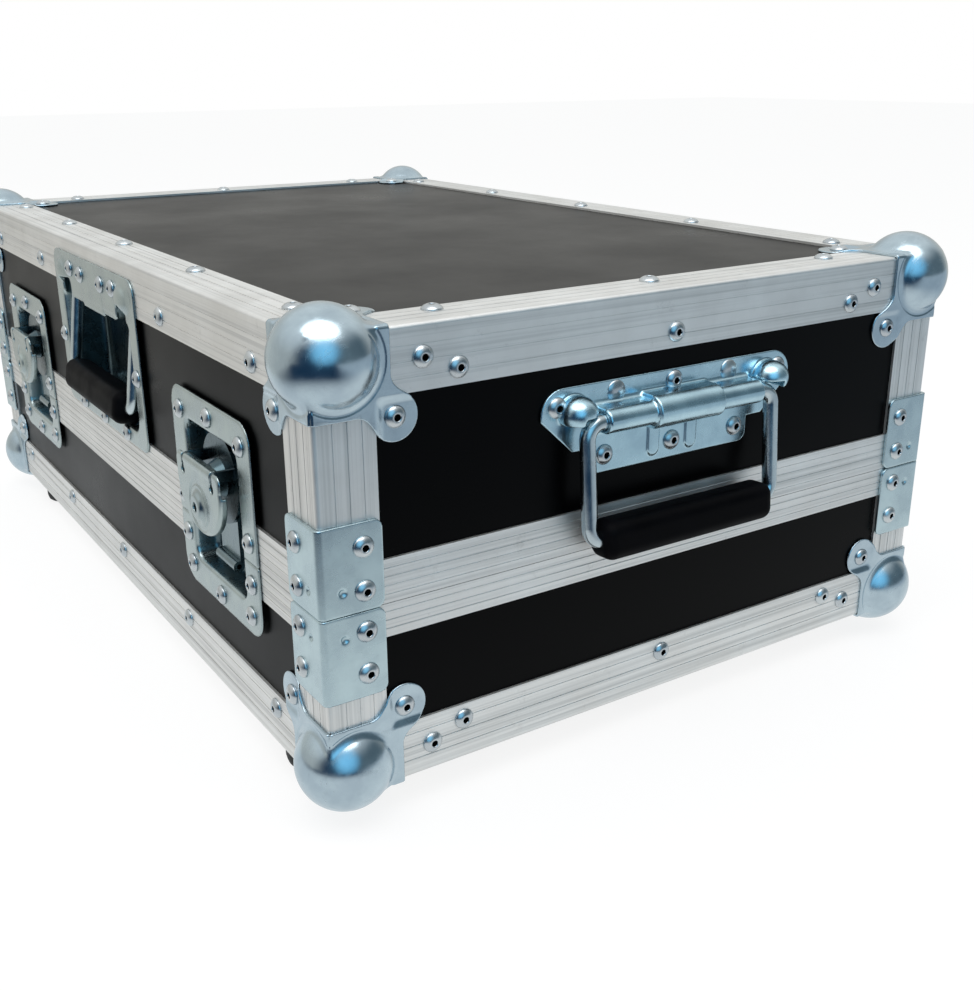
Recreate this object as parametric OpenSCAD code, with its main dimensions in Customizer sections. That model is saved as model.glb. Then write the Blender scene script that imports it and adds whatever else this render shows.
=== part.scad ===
// Lidded transport case for rack and stage equipment: a shallow base, a deep lift-off hood,
// aluminium edge profiles, steel ball corners, butterfly latches and sprung carrying handles.
// Millimetres. +Z is up, the feet stand on z = 0 and the long side runs along X.

/* [Case] */
// Width of the case across its edge profiles
case_w = 617; // [590:1:900]
// Depth of the case across its edge profiles
case_d = 398; // [320:1:600]
// Height of the base up to the joint with the lid
split_h = 94.5; // [94:0.5:160]
// Height of the lid from the joint with the base
lid_h = 126; // [122:0.5:260]
// Thickness of the laminated plywood panels
panel_t = 7; // [5:0.5:10]
// Height of the rubber feet
foot_h = 18; // [14:1:30]

/* [Profiles] */
// Outer leg of the corner profiles
edge_leg = 30; // [28:0.5:35]
// Wall of the outer legs
edge_t = 1.5; // [1:0.1:2]
// Inner leg of the corner profiles, from the outer corner
inner_leg = 26; // [22:0.5:28]
// Wall of the inner legs and webs
inner_t = 1.2; // [1:0.1:1.6]
// Radius of the profiles' outer corner
edge_r = 2; // [1:0.5:3]
// Height of the groove profile on the base
groove_h = 16.7; // [15:0.1:22]
// Height of the tongue profile on the lid
tongue_h = 21.5; // [18:0.1:26]

/* [Corners] */
// Outer radius of the ball corners
ball_r = 24; // [23:0.5:27]
// Distance of the ball's centre inside each outer face
ball_inset = 12.8; // [12:0.1:14]
// Sheet thickness of the ball corners
ball_t = 1.5; // [1:0.1:2]
// Length of the ball corner's flanges along the edges
flange_len = 37.5; // [34:0.5:44]
// Distance of the flange rivet from both edges
lobe_at = 39.5; // [38:0.5:44]
// Radius of the flange lobe around its rivet
lobe_r = 11.5; // [9:0.5:13]
// Leg of the bent corner braces
brace_leg = 30.3; // [26:0.1:34]
// Height of a corner brace
brace_h = 42.5; // [36:0.5:48]
// Sheet thickness of the corner braces
brace_t = 2; // [1.2:0.1:2.5]

/* [Latches] */
// Distance of each latch from the middle of the case
latch_x = 187; // [150:1:200]
// Width of the latch plates
latch_w = 106; // [100:1:120]
// Height of the lid plate of a latch
latch_lid_h = 72; // [68:1:84]
// Height of the base plate of a latch
latch_base_h = 40; // [36:1:48]
// Width of the latch dish
dish_w = 70; // [66:1:80]
// Depth of the latch dish under the outer face
dish_d = 12; // [11:0.5:16]
// Travel of the hook over half a turn of the wing
hook_travel = 6; // [4:0.5:8]
// Width of the hook
hook_w = 25; // [20:1:30]

/* [Handles] */
// Span of the handles' bails between leg centres
bail_span = 122; // [112:1:140]
// Reach of the handles' bails from pivot to grip
bail_reach = 59; // [50:1:64]
// Diameter of the handles' bail rod
bail_rod_d = 8; // [6:0.5:8.5]
// Diameter of the handles' rubber grips
grip_d = 20; // [18:0.5:22]
// Width of the recessed handle's face plate
recess_w = 166; // [160:1:190]

/* [Fasteners] */
// Diameter of the rivet heads
rivet_d = 10.5; // [9:0.5:12]
// Diameter of the rivet shanks
rivet_shank_d = 4.8; // [4:0.1:5]

/* [Hidden] */
$fn = 48;

LATCHES = ["front_right", "front_left", "rear_right", "rear_left"];
ENDS = ["right", "left"];

// Colours of the real materials.
alu_col = [0.74, 0.73, 0.70];
zinc_col = [0.66, 0.72, 0.74];
laminate_col = [0.05, 0.05, 0.06];
rubber_col = [0.03, 0.03, 0.03];
foam_col = [0.14, 0.14, 0.15];

// Levels.
case_h = split_h + lid_h;
z_low = foot_h;
z_split = z_low + split_h;
z_top = z_low + case_h;

// Clearances.
slot_gap = 0.1;
end_gap = 0.3;
moving_gap = 0.3;
run_gap = 0.05;
mitre_gap = 0.15;
cut_over = 1;

// Panels in their slots.
skin = edge_t + slot_gap;
panel_in = skin + panel_t;
web_out = panel_in + slot_gap;
panel_end = web_out + inner_t + end_gap;
liner_in = web_out + inner_t;

// Lid joint.
half_gap = moving_gap / 2;
groove_floor = 5.6;
tongue_deep = 4.9;
tongue_side = 0.5;

// Shallow lines drawn along the profiles.
line_w = 0.6;
line_deep = 0.35;
edge_line_1 = 8.7;
edge_line_step = 7.1;
joint_line_step = 4.25;

// Ball corner flange.
ball_mid = ball_inset;
lobe_neck_r = 10;
joggle_at = edge_leg + 0.4;
flange_pt = lobe_at - sqrt(pow(lobe_neck_r + lobe_r, 2) - pow(flange_len + lobe_neck_r - lobe_at, 2));

// Latch, measured from the joint line and from the latch's own middle.
latch_r = 12;
latch_t = 1.5;
dish_wall = 1.2;
dish_top = 55.5;
dish_r = 4;
rotor_z = 31;
rotor_r = 24;
shaft_r = 4;
cam_off = hook_travel / 2;
cam_r = shaft_r + cam_off + 0.5;
disc_face = 3;
disc_t = 1.9;
hook_face = 5.5;
hook_t = 2;
hook_end = -14.5;
roll_r = 3;
keeper_dish = hook_travel + roll_r + moving_gap + 0.2 - hook_end;
ear_u = 20;
ear_t = 2;
wing_pin_r = 1.5;
wing_barrel_r = 3;
wing_axis_z = 38.5;
wing_axis_y = -6.5;
wing_w = 60;
wing_top = 41.5;
wing_mid = 29;
wing_low = 3;
wing_t = 1.5;
wing_boss_z = 18;

// End handle, measured from the joint line.
plate_t = 1.5;
end_axis_z = 68;
end_axis_y = -8;
end_top = 85.5;
end_low = 39;
end_half_w = 82;
end_low_half_w = 52.5;
knuckle_r = 6.3;
sleeve_r = 8.5;
sleeve_half = 21.5;
knuckle_half = 51;
spring_bore = 7;
bail_r = bail_rod_d / 2;
bail_bend = 8;
bail_lean = 4.4;
rod_end = 6;
lug_r = 11;

// Recessed handle, measured from the joint line.
rec_low = 15;
rec_top = 117;
rec_dish_half = 69;
rec_dish_low = 25.5;
rec_dish_top = 89.5;
rec_deep = 24;
rec_axis_z = 95.5;
rec_axis_y = 7.2;
rec_lean = 8.5;
rec_knuckle_half = 46;
rec_slot_from = 47;
rec_room_top = rec_axis_z + sleeve_r + 0.3;

// Foot.
foot_r = 19;
foot_in_y = 25;
foot_in_x = lobe_at + sqrt(pow(lobe_r + foot_r + 0.5, 2) - pow(lobe_at - foot_in_y, 2));
foot_bore = 7;
foot_bore_deep = 11;
foot_screw_r = 2.5;
foot_hole_r = foot_screw_r + run_gap;

// Rivets.
rivet_r = rivet_d / 2;
dome_h = 2.6;
mandrel_r = 1.5;
shank_l = 6;
stud_r = 5.75;
edge_rivet_in = 22;
long_pitch = (case_w / 2 - lobe_at - lobe_r - rivet_r - 4.25) / 2;
short_pitch = case_d / 2 - lobe_at - lobe_r - rivet_r - 15.75;
extra_rivet_in = 15;
extra_rivet_back = 54;
brace_in = 20.5;

// Foam pads.
foam_t = 12;
foam_gap = 0.3;

// ---------------------------------------------------------------- helpers

// Local frames of the four upright faces: x runs along the face, -y points out, z stays up.
module on_front() translate([0, -case_d / 2, 0]) children();
module on_rear() rotate([0, 0, 180]) on_front() children();
module on_right() translate([case_w / 2, 0, 0]) rotate([0, 0, 90]) children();
module on_left() rotate([0, 0, 180]) on_right() children();
module on_end(e) {
    if (e == "right") on_right() children();
    else on_left() children();
}

// Local frame of one latch: x across the latch, -y out of the case, z = 0 on the joint line.
module at_latch(name) {
    front = name == "front_right" || name == "front_left";
    side = (name == "front_right" || name == "rear_left") ? 1 : -1;
    rotate([0, 0, front ? 0 : 180])
        translate([side * latch_x, -case_d / 2, z_split])
            children();
}

// The four upright corners: x and y run inwards from the outer corner line.
module at_corners() {
    for (sx = [0, 1])
        for (sy = [0, 1])
            mirror([sx, 0, 0])
                mirror([0, sy, 0])
                    translate([-case_w / 2, -case_d / 2, 0])
                        children();
}

// Turns x, y, z into y, z, x.
module turn_axes() rotate([90, 0, 90]) children();

// A flat sheet in the plane of a face: 2D x and y become x and z, and it spans y_a to y_b.
module sheet(y_a, y_b) translate([0, y_b, 0]) rotate([90, 0, 0]) linear_extrude(y_b - y_a) children();

// A bar with its axis along x, from x_a to x_b.
module bar(x_a, x_b, r) translate([x_a, 0, 0]) rotate([0, 90, 0]) cylinder(h = x_b - x_a, r = r);

// What is left over outside a rounded corner at the origin.
module corner_waste(r) {
    difference() {
        translate([-cut_over, -cut_over]) square(r + cut_over);
        translate([r, r]) circle(r = r);
    }
}

// Rectangle from (x_a, y_a) to (x_b, y_b) with its lower and upper corners rounded.
module plate_shape(x_a, y_a, x_b, y_b, r_low, r_high) {
    difference() {
        translate([x_a, y_a]) square([x_b - x_a, y_b - y_a]);
        if (r_low > 0) {
            translate([x_a, y_a]) corner_waste(r_low);
            translate([x_b, y_a]) mirror([1, 0]) corner_waste(r_low);
        }
        if (r_high > 0) {
            translate([x_a, y_b]) mirror([0, 1]) corner_waste(r_high);
            translate([x_b, y_b]) mirror([1, 0]) mirror([0, 1]) corner_waste(r_high);
        }
    }
}

// A run of profile along x, inwards along y, mitred for the corner at both ends.
module mitred_run(len) {
    reach = 60;
    intersection() {
        turn_axes() linear_extrude(len, center = true) children();
        translate([0, 0, -reach]) linear_extrude(2 * reach) polygon([
            [-len / 2 + mitre_gap, 0], [len / 2 - mitre_gap, 0],
            [len / 2 - mitre_gap - reach, reach], [-len / 2 + mitre_gap + reach, reach]]);
    }
}
module front_and_rear(len) {
    for (s = [0, 1])
        mirror([0, s, 0]) translate([0, -case_d / 2, 0]) mitred_run(len) children();
}
module left_and_right(len) {
    for (s = [0, 1])
        mirror([s, 0, 0]) translate([-case_w / 2, 0, 0]) rotate([0, 0, -90]) mitred_run(len) children();
}

// ---------------------------------------------------------------- profiles

// Corner profile: two outer legs, two inner legs and a hollow web that the panels butt against.
module edge_section() {
    difference() {
        union() {
            square([edge_leg, edge_t]);
            square([edge_t, edge_leg]);
            square(web_out);
            translate([web_out - inner_t, web_out - inner_t]) square(2 * inner_t);
            translate([web_out, web_out]) square([inner_leg - web_out, inner_t]);
            translate([web_out, web_out]) square([inner_t, inner_leg - web_out]);
        }
        translate([edge_t, edge_t]) square(web_out - edge_t - inner_t);
        corner_waste(edge_r);
        for (k = [0 : 2]) {
            at = edge_line_1 + k * edge_line_step;
            translate([at, -cut_over]) square([line_w, cut_over + line_deep]);
            translate([-cut_over, at]) square([cut_over + line_deep, line_w]);
        }
    }
}

// Groove profile of the base, with y = 0 on the joint line.
module groove_section() {
    difference() {
        union() {
            translate([0, -groove_h]) square([edge_t, groove_h - half_gap]);
            translate([web_out, -groove_h]) square([inner_t, groove_h - half_gap]);
            translate([0, -groove_floor - inner_t]) square([liner_in, inner_t]);
        }
        for (k = [1 : 3])
            translate([-cut_over, -k * joint_line_step]) square([cut_over + line_deep, line_w]);
    }
}

// Tongue profile of the lid.
module tongue_section() {
    tongue_in = edge_t + tongue_side;
    tongue_out = web_out - tongue_side;
    difference() {
        union() {
            translate([0, half_gap]) square([edge_t, tongue_h - half_gap]);
            translate([web_out, half_gap]) square([inner_t, tongue_h - half_gap]);
            translate([0, half_gap]) square([liner_in, inner_t]);
            translate([tongue_in, -tongue_deep]) square([tongue_out - tongue_in, tongue_deep + inner_t]);
        }
        translate([tongue_in + inner_t, -tongue_deep + inner_t])
            square([tongue_out - tongue_in - 2 * inner_t, tongue_deep - inner_t]);
        for (k = [1 : 4])
            translate([-cut_over, k * joint_line_step]) square([cut_over + line_deep, line_w]);
    }
}

// Room for the latch dishes on the front and the rear.
module latch_cuts() {
    room = dish_wall + end_gap;
    for (l = LATCHES)
        at_latch(l)
            translate([-dish_w / 2 - room, -cut_over, -keeper_dish - room])
                cube([dish_w + 2 * room, dish_d + 2 * cut_over, dish_top + keeper_dish + 2 * room]);
}

// Room for the recessed handle's dish.
module recess_cuts() {
    room = dish_wall + end_gap;
    on_front() translate([-rec_dish_half - room, -cut_over, z_split + rec_dish_low - room])
        cube([2 * (rec_dish_half + room), rec_deep, rec_room_top - rec_dish_low + 2 * room]);
}

module base_long_edges() color(alu_col)
    translate([0, 0, z_low]) front_and_rear(case_w) edge_section();
module base_short_edges() color(alu_col)
    translate([0, 0, z_low]) left_and_right(case_d) edge_section();
module base_corner_posts() color(alu_col)
    at_corners()
        translate([0, 0, z_low + edge_leg + end_gap])
            linear_extrude(split_h - groove_h - edge_leg - 2 * end_gap) edge_section();
module groove_profile_long() color(alu_col)
    difference() {
        translate([0, 0, z_split]) front_and_rear(case_w) groove_section();
        latch_cuts();
    }
module groove_profile_short() color(alu_col)
    translate([0, 0, z_split]) left_and_right(case_d) groove_section();

module lid_long_edges() color(alu_col)
    difference() {
        translate([0, 0, z_top]) mirror([0, 0, 1]) front_and_rear(case_w) edge_section();
        recess_cuts();
    }
module lid_short_edges() color(alu_col)
    translate([0, 0, z_top]) mirror([0, 0, 1]) left_and_right(case_d) edge_section();
module lid_corner_posts() color(alu_col)
    at_corners()
        translate([0, 0, z_split + tongue_h + end_gap])
            linear_extrude(case_h - split_h - tongue_h - edge_leg - 2 * end_gap) edge_section();
module tongue_profile_long() color(alu_col)
    difference() {
        translate([0, 0, z_split]) front_and_rear(case_w) tongue_section();
        latch_cuts();
    }
module tongue_profile_short() color(alu_col)
    translate([0, 0, z_split]) left_and_right(case_d) tongue_section();

// ---------------------------------------------------------------- panels

module flat_panel(z_outer, up) color(laminate_col)
    translate([-case_w / 2 + panel_end, -case_d / 2 + panel_end, up ? z_outer + skin : z_outer - panel_in])
        cube([case_w - 2 * panel_end, case_d - 2 * panel_end, panel_t]);

// Upright panel in a face frame of width len, from z_a to z_b.
module upright_panel(len, z_a, z_b)
    translate([-len / 2 + panel_end, skin, z_a]) cube([len - 2 * panel_end, panel_t, z_b - z_a]);

base_wall_low = z_low + panel_end;
base_wall_high = z_split - groove_floor - inner_t - end_gap;
lid_wall_low = z_split + half_gap + inner_t + end_gap;
lid_wall_high = z_top - panel_end;

module base_bottom_panel() flat_panel(z_low, true);
module lid_top_panel() flat_panel(z_top, false);
module base_front_panel() color(laminate_col)
    difference() {
        on_front() upright_panel(case_w, base_wall_low, base_wall_high);
        latch_cuts();
    }
module base_rear_panel() color(laminate_col)
    difference() {
        on_rear() upright_panel(case_w, base_wall_low, base_wall_high);
        latch_cuts();
    }
module base_right_panel() color(laminate_col) on_right() upright_panel(case_d, base_wall_low, base_wall_high);
module base_left_panel() color(laminate_col) on_left() upright_panel(case_d, base_wall_low, base_wall_high);
module lid_front_panel() color(laminate_col)
    difference() {
        on_front() upright_panel(case_w, lid_wall_low, lid_wall_high);
        latch_cuts();
        recess_cuts();
    }
module lid_rear_panel() color(laminate_col)
    difference() {
        on_rear() upright_panel(case_w, lid_wall_low, lid_wall_high);
        latch_cuts();
    }
module lid_right_panel() color(laminate_col) on_right() upright_panel(case_d, lid_wall_low, lid_wall_high);
module lid_left_panel() color(laminate_col) on_left() upright_panel(case_d, lid_wall_low, lid_wall_high);

module foam_pad(z_a) color(foam_col)
    translate([-case_w / 2 + inner_leg + 1, -case_d / 2 + inner_leg + 1, z_a])
        cube([case_w - 2 * inner_leg - 2, case_d - 2 * inner_leg - 2, foam_t]);
module base_foam() foam_pad(z_low + panel_in + foam_gap);
module lid_foam() foam_pad(z_top - panel_in - foam_gap - foam_t);

// ---------------------------------------------------------------- ball corners and braces

// Points of an arc from angle a to angle b around (x, y).
function arc(x, y, r, a, b, n) = [for (i = [0 : n]) let (t = a + (b - a) * i / n) [x + r * cos(t), y + r * sin(t)]];

// Outline of one flange: straight along both edges, necked in, with a round lobe on the diagonal.
module flange_outline() {
    neck_x = flange_len + lobe_neck_r;
    meet = atan2(lobe_at - flange_pt, lobe_at - neck_x);
    half = concat([[flange_len, -ball_t]],
                  arc(neck_x, flange_pt, lobe_neck_r, 180, meet, 5),
                  arc(lobe_at, lobe_at, lobe_r, meet - 180, 45, 8));
    other = [for (i = [len(half) - 2 : -1 : 0]) [half[i][1], half[i][0]]];
    polygon(concat([[-ball_t, -ball_t]], half, other));
}

// One flange on the plane z = 0, case below it at +z: it steps down onto the panel past the profiles.
module flange() {
    far = 80;
    difference() {
        translate([0, 0, -ball_t]) linear_extrude(ball_t) flange_outline();
        translate([joggle_at, joggle_at, -ball_t - cut_over]) cube([far, far, ball_t + 2 * cut_over]);
    }
    difference() {
        translate([0, 0, -ball_t]) linear_extrude(ball_t + skin) intersection() {
            flange_outline();
            translate([joggle_at, joggle_at]) square(far);
        }
        translate([joggle_at + ball_t, joggle_at + ball_t, -ball_t - cut_over])
            cube([far, far, cut_over + skin]);
    }
}

// Ball corner on the corner at the origin, with the case along +x, +y and +z.
module ball_corner() {
    difference() {
        union() {
            flange();
            turn_axes() flange();
            turn_axes() turn_axes() flange();
            difference() {
                translate([ball_mid, ball_mid, ball_mid]) sphere(r = ball_r);
                cube(2 * ball_r);
            }
        }
        translate([ball_mid, ball_mid, ball_mid]) sphere(r = ball_r - ball_t);
    }
}
module base_ball_corners() color(zinc_col) at_corners() translate([0, 0, z_low]) ball_corner();
module lid_ball_corners() color(zinc_col)
    at_corners() translate([0, 0, z_top]) mirror([0, 0, 1]) ball_corner();

// Bent brace over the profile joint, from z = 0 up, outer corner line at the origin.
module corner_brace() {
    bend = 3;
    low_r = 3;
    high_r = 5;
    difference() {
        union() {
            sheet(-brace_t, 0) plate_shape(-brace_leg - 2 * high_r, 0, brace_leg, brace_h, low_r, high_r);
            mirror([1, -1, 0])
                sheet(-brace_t, 0) plate_shape(-brace_leg - 2 * high_r, 0, brace_leg, brace_h, low_r, high_r);
        }
        translate([-2 * brace_leg - brace_t, -brace_leg, -cut_over])
            cube([2 * brace_leg, 2 * brace_leg, brace_h + 2 * cut_over]);
        translate([-brace_leg, -2 * brace_leg - brace_t, -cut_over])
            cube([2 * brace_leg, 2 * brace_leg, brace_h + 2 * cut_over]);
        translate([-brace_t, -brace_t, -cut_over])
            linear_extrude(brace_h + 2 * cut_over) corner_waste(bend);
    }
}
module base_corner_braces() color(zinc_col)
    at_corners() translate([0, 0, z_split - half_gap]) mirror([0, 0, 1]) corner_brace();
module lid_corner_braces() color(zinc_col)
    at_corners() translate([0, 0, z_split + half_gap]) corner_brace();

// ---------------------------------------------------------------- feet

module at_feet() {
    for (sx = [-1, 1])
        for (sy = [-1, 1])
            translate([sx * (case_w / 2 - foot_in_x), sy * (case_d / 2 - foot_in_y), 0])
                children();
}
module feet() color(rubber_col)
    at_feet() rotate_extrude()
        polygon([[foot_hole_r, foot_bore_deep], [foot_bore, foot_bore_deep], [foot_bore, 0],
                 [foot_r - 4, 0], [foot_r - 1.6, 1], [foot_r - 1, 3], [foot_r, foot_h], [foot_hole_r, foot_h]]);
module foot_screws() color(zinc_col)
    at_feet() {
        head_r = 5.5;
        head_h = 3.2;
        washer_r = 6.7;
        washer_t = 1;
        translate([0, 0, foot_bore_deep - washer_t]) cylinder(h = washer_t, r = washer_r);
        translate([0, 0, foot_bore_deep - washer_t - head_h]) cylinder(h = head_h, r = head_r);
        translate([0, 0, foot_bore_deep - washer_t]) cylinder(h = foot_h + panel_in - foot_bore_deep + washer_t, r = foot_screw_r);
    }

// ---------------------------------------------------------------- latches

// Half of a latch's face plate with its dish: s = 1 is the lid half and s = -1 the base half.
module latch_half(s, plate_h, dish_h) {
    low = min(s * half_gap, s * plate_h);
    high = max(s * half_gap, s * plate_h);
    d_low = min(s * half_gap, s * dish_h);
    d_high = max(s * half_gap, s * dish_h);
    r_low = s < 0 ? latch_r : 0;
    r_high = s > 0 ? latch_r : 0;
    dr_low = s < 0 ? dish_r : 0;
    dr_high = s > 0 ? dish_r : 0;
    grow = dish_wall;
    difference() {
        union() {
            sheet(-latch_t, 0) plate_shape(-latch_w / 2, low, latch_w / 2, high, r_low, r_high);
            sheet(-latch_t, dish_d + grow) plate_shape(-dish_w / 2 - grow, s < 0 ? d_low - grow : d_low,
                dish_w / 2 + grow, s > 0 ? d_high + grow : d_high, dr_low, dr_high);
        }
        sheet(-latch_t - cut_over, dish_d) plate_shape(-dish_w / 2, s > 0 ? d_low - cut_over : d_low,
            dish_w / 2, s < 0 ? d_high + cut_over : d_high, dr_low, dr_high);
    }
}

module latch_dishes() color(zinc_col)
    for (l = LATCHES)
        at_latch(l)
            difference() {
                latch_half(1, latch_lid_h, dish_top);
                translate([0, dish_d - cut_over, rotor_z]) rotate([-90, 0, 0])
                    cylinder(h = dish_wall + 2 * cut_over, r = shaft_r + run_gap);
            }

// Base plate with the lip that the hook draws against.
module keeper_plates() color(zinc_col)
    for (l = LATCHES)
        at_latch(l) {
            lip_w = 30;
            lip_h = 2.5;
            lip_z = -10.5;
            latch_half(-1, latch_base_h, keeper_dish);
            translate([-lip_w / 2, hook_face + hook_t + moving_gap, lip_z])
                cube([lip_w, dish_d - hook_face - hook_t - moving_gap, lip_h]);
        }

// Turning disc with its shaft, eccentric cam and two ears that carry the wing's pin.
module latch_rotor() {
    cam_gap = 0.3;
    head_r = 7;
    head_t = 2;
    hub_r = 11;
    hub_out = 2;
    ear_deep = disc_face + disc_t - wing_axis_y;
    translate([0, 0, rotor_z]) rotate([-90, 0, 0]) {
        translate([0, 0, disc_face]) cylinder(h = disc_t, r = rotor_r);
        translate([0, 0, disc_face]) cylinder(h = dish_d + dish_wall + moving_gap - disc_face, r = shaft_r);
        translate([0, 0, dish_d + dish_wall + moving_gap]) cylinder(h = head_t, r = head_r);
        translate([0, -cam_off, disc_face]) cylinder(h = hook_face + hook_t + cam_gap - disc_face, r = cam_r);
        translate([0, 0, -hub_out]) cylinder(h = hub_out + disc_face + disc_t / 2, r1 = hub_r - 3, r2 = hub_r);
    }
    for (s = [-1, 1])
        translate([s * ear_u - ear_t / 2, wing_axis_y, wing_axis_z])
            rotate([0, 90, 0]) linear_extrude(ear_t) {
                circle(r = wing_barrel_r);
                translate([-wing_barrel_r, 0]) square([2 * wing_barrel_r, ear_deep]);
            }
    translate([-ear_u - ear_t, wing_axis_y, wing_axis_z]) bar(0, 2 * ear_u + 2 * ear_t, wing_pin_r);
}

// Folding wing that turns the rotor: a D-shaped plate hung from a rolled barrel.
module latch_wing() {
    hole_r = 2.6;
    hole_u = 20;
    hole_down = 8.5;
    boss_r = 10;
    boss_h = 2.5;
    barrel_half = ear_u - ear_t / 2 - moving_gap;
    barrel_cut = wing_barrel_r + moving_gap;
    plate_y = wing_axis_y - wing_barrel_r;
    outline = concat(
        arc(-wing_w / 2 + 6, wing_top - 6, 6, 180, 90, 4),
        arc(wing_w / 2 - 6, wing_top - 6, 6, 90, 0, 4),
        [for (i = [0 : 16]) let (t = -180 * i / 16)
            [wing_w / 2 * cos(t), wing_mid + (wing_mid - wing_low) * sin(t)]]);
    difference() {
        union() {
            sheet(plate_y, plate_y + wing_t) polygon(outline);
            translate([0, wing_axis_y, wing_axis_z]) bar(-barrel_half, barrel_half, wing_barrel_r);
            translate([0, plate_y, wing_boss_z]) rotate([90, 0, 0]) cylinder(h = boss_h, r1 = boss_r, r2 = boss_r - 4);
        }
        translate([0, wing_axis_y, wing_axis_z]) bar(-wing_w, wing_w, wing_pin_r + run_gap);
        for (s = [-1, 1]) {
            translate([s * hole_u, plate_y - cut_over, wing_top - hole_down]) rotate([-90, 0, 0])
                cylinder(h = wing_t + 2 * cut_over, r = hole_r);
            translate([s * ear_u - ear_t / 2 - moving_gap, plate_y - cut_over, wing_axis_z - barrel_cut])
                cube([ear_t + 2 * moving_gap, 2 * barrel_cut + cut_over, 2 * barrel_cut]);
        }
        translate([0, plate_y - boss_h - cut_over, wing_boss_z]) rotate([-90, 0, 0])
            cylinder(h = boss_h + wing_t + 2 * cut_over, r = hole_r);
    }
}

// Hook plate: a slotted head around the cam and a tail with a rolled end.
module latch_hook() {
    head_w = 38;
    head_up = 18;
    head_down = 15;
    slot_half_w = cam_r + cam_off + 1;
    slot_half_h = cam_r + 1.2;
    mid = rotor_z + cam_off;
    difference() {
        union() {
            sheet(hook_face, hook_face + hook_t) {
                plate_shape(-head_w / 2, mid - head_down, head_w / 2, mid + head_up, 6, 6);
                translate([-hook_w / 2, hook_end]) square([hook_w, mid - hook_end]);
            }
            translate([0, hook_face + hook_t - roll_r, hook_end]) bar(-hook_w / 2, hook_w / 2, roll_r);
        }
        sheet(hook_face - cut_over, hook_face + hook_t + cut_over)
            plate_shape(-slot_half_w, mid - slot_half_h, slot_half_w, mid + slot_half_h, 3, 3);
        translate([0, hook_face + hook_t - roll_r, hook_end]) bar(-hook_w, hook_w, roll_r - 1.6);
    }
}

// ---------------------------------------------------------------- end handles

module end_frame(e) on_end(e) translate([0, 0, z_split]) children();

module end_plate_outline() {
    r = 13;
    right = concat(
        arc(end_half_w - r, end_top - r, r, 90, -10, 8),
        [[63, 52.5], [end_low_half_w, 52.5]],
        arc(end_low_half_w - 5, end_low + 5, 5, 0, -90, 5));
    left = [for (i = [len(right) - 1 : -1 : 0]) [-right[i][0], right[i][1]]];
    polygon(concat(right, left));
}

// Plate pressed into a bridge over the bail's rod, with embossed ribs and a domed stop at each end.
module end_handle_plate(e) color(zinc_col)
    end_frame(e)
        difference() {
            union() {
                sheet(skin - plate_t, skin) end_plate_outline();
                bridge(-knuckle_half, knuckle_half, knuckle_r);
                bridge(-sleeve_half, sleeve_half, sleeve_r);
                for (s = [-1, 1]) {
                    sheet(skin - plate_t - 1, skin) {
                        translate([s * 12.5 - 3.7, 46]) square([7.4, 18]);
                        translate([s * 12.5, 46]) circle(r = 3.7);
                    }
                    stop_lug(s);
                }
            }
            translate([0, end_axis_y, end_axis_z]) bar(-2 * knuckle_half, 2 * knuckle_half, bail_r + run_gap);
            translate([0, end_axis_y, end_axis_z]) bar(-sleeve_half + 1.5, sleeve_half - 1.5, spring_bore);
        }
module bridge(x_a, x_b, r) {
    translate([0, end_axis_y, end_axis_z]) bar(x_a, x_b, r);
    translate([x_a, end_axis_y, end_axis_z - r]) cube([x_b - x_a, skin - end_axis_y, 2 * r]);
}
module stop_lug(s) {
    intersection() {
        translate([s * (bail_span / 2 + 3.5), -4, end_axis_z + 3.5]) sphere(r = lug_r);
        translate([-case_d, -case_d, end_axis_z + bail_r + moving_gap]) cube([2 * case_d, case_d + skin, 4 * lug_r]);
    }
}

// Coil spring around the rod: closed turns, centred on its axis.
module spring_coils() {
    wire_r = 1;
    turns = 12;
    coil_r = (bail_r + spring_bore) / 2;
    pitch = 2 * wire_r * 0.97;
    translate([-turns * pitch / 2, 0, 0])
        rotate([0, 90, 0])
            rotate_extrude() for (i = [0 : turns])
                translate([coil_r, i * pitch]) circle(r = wire_r, $fn = 24);
}
module end_handle_spring(e) color(zinc_col)
    end_frame(e) translate([0, end_axis_y, end_axis_z]) spring_coils();

// A quarter bend from -x to -z, starting at the origin of its centre line's corner.
module quarter_bend(bend, r)
    rotate([90, 0, 0]) translate([-bend, -bend, 0]) rotate_extrude(angle = 90) translate([bend, 0]) circle(r = r);

// Bail hung from its pivot on the x axis at the origin: two pivot stubs, two legs and the grip's core.
module bail_loop() {
    span = bail_span;
    bend = bail_bend;
    r = bail_r;
    for (s = [0, 1])
        mirror([s, 0, 0]) {
            bar(rod_end, span / 2 - bend, r);
            translate([span / 2, 0, 0]) quarter_bend(bend, r);
            translate([span / 2, 0, -bail_reach + bend]) cylinder(h = bail_reach - 2 * bend, r = r);
            translate([span / 2, 0, -bail_reach]) mirror([0, 0, 1]) quarter_bend(bend, r);
        }
    translate([0, 0, -bail_reach]) bar(-span / 2 + bend, span / 2 - bend, r);
}

// Rounded rubber grip on the bail's lower bar.
module bail_grip() {
    end_r = 8;
    side_r = 6;
    half = bail_span / 2 - bail_bend + 3;
    deep = grip_d - 1;
    translate([0, 0, -bail_reach])
        difference() {
            intersection() {
                sheet(-deep / 2, deep / 2) plate_shape(-half, -grip_d / 2, half, grip_d / 2, end_r, end_r);
                turn_axes() linear_extrude(2 * half, center = true)
                    plate_shape(-deep / 2, -grip_d / 2, deep / 2, grip_d / 2, side_r, side_r);
            }
            bar(-2 * half, 2 * half, bail_r + run_gap);
            for (s = [0, 1])
                mirror([s, 0, 0]) translate([bail_span / 2, 0, 0]) mirror([0, 0, 1]) quarter_bend(bail_bend, bail_r + run_gap);
        }
}

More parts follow.
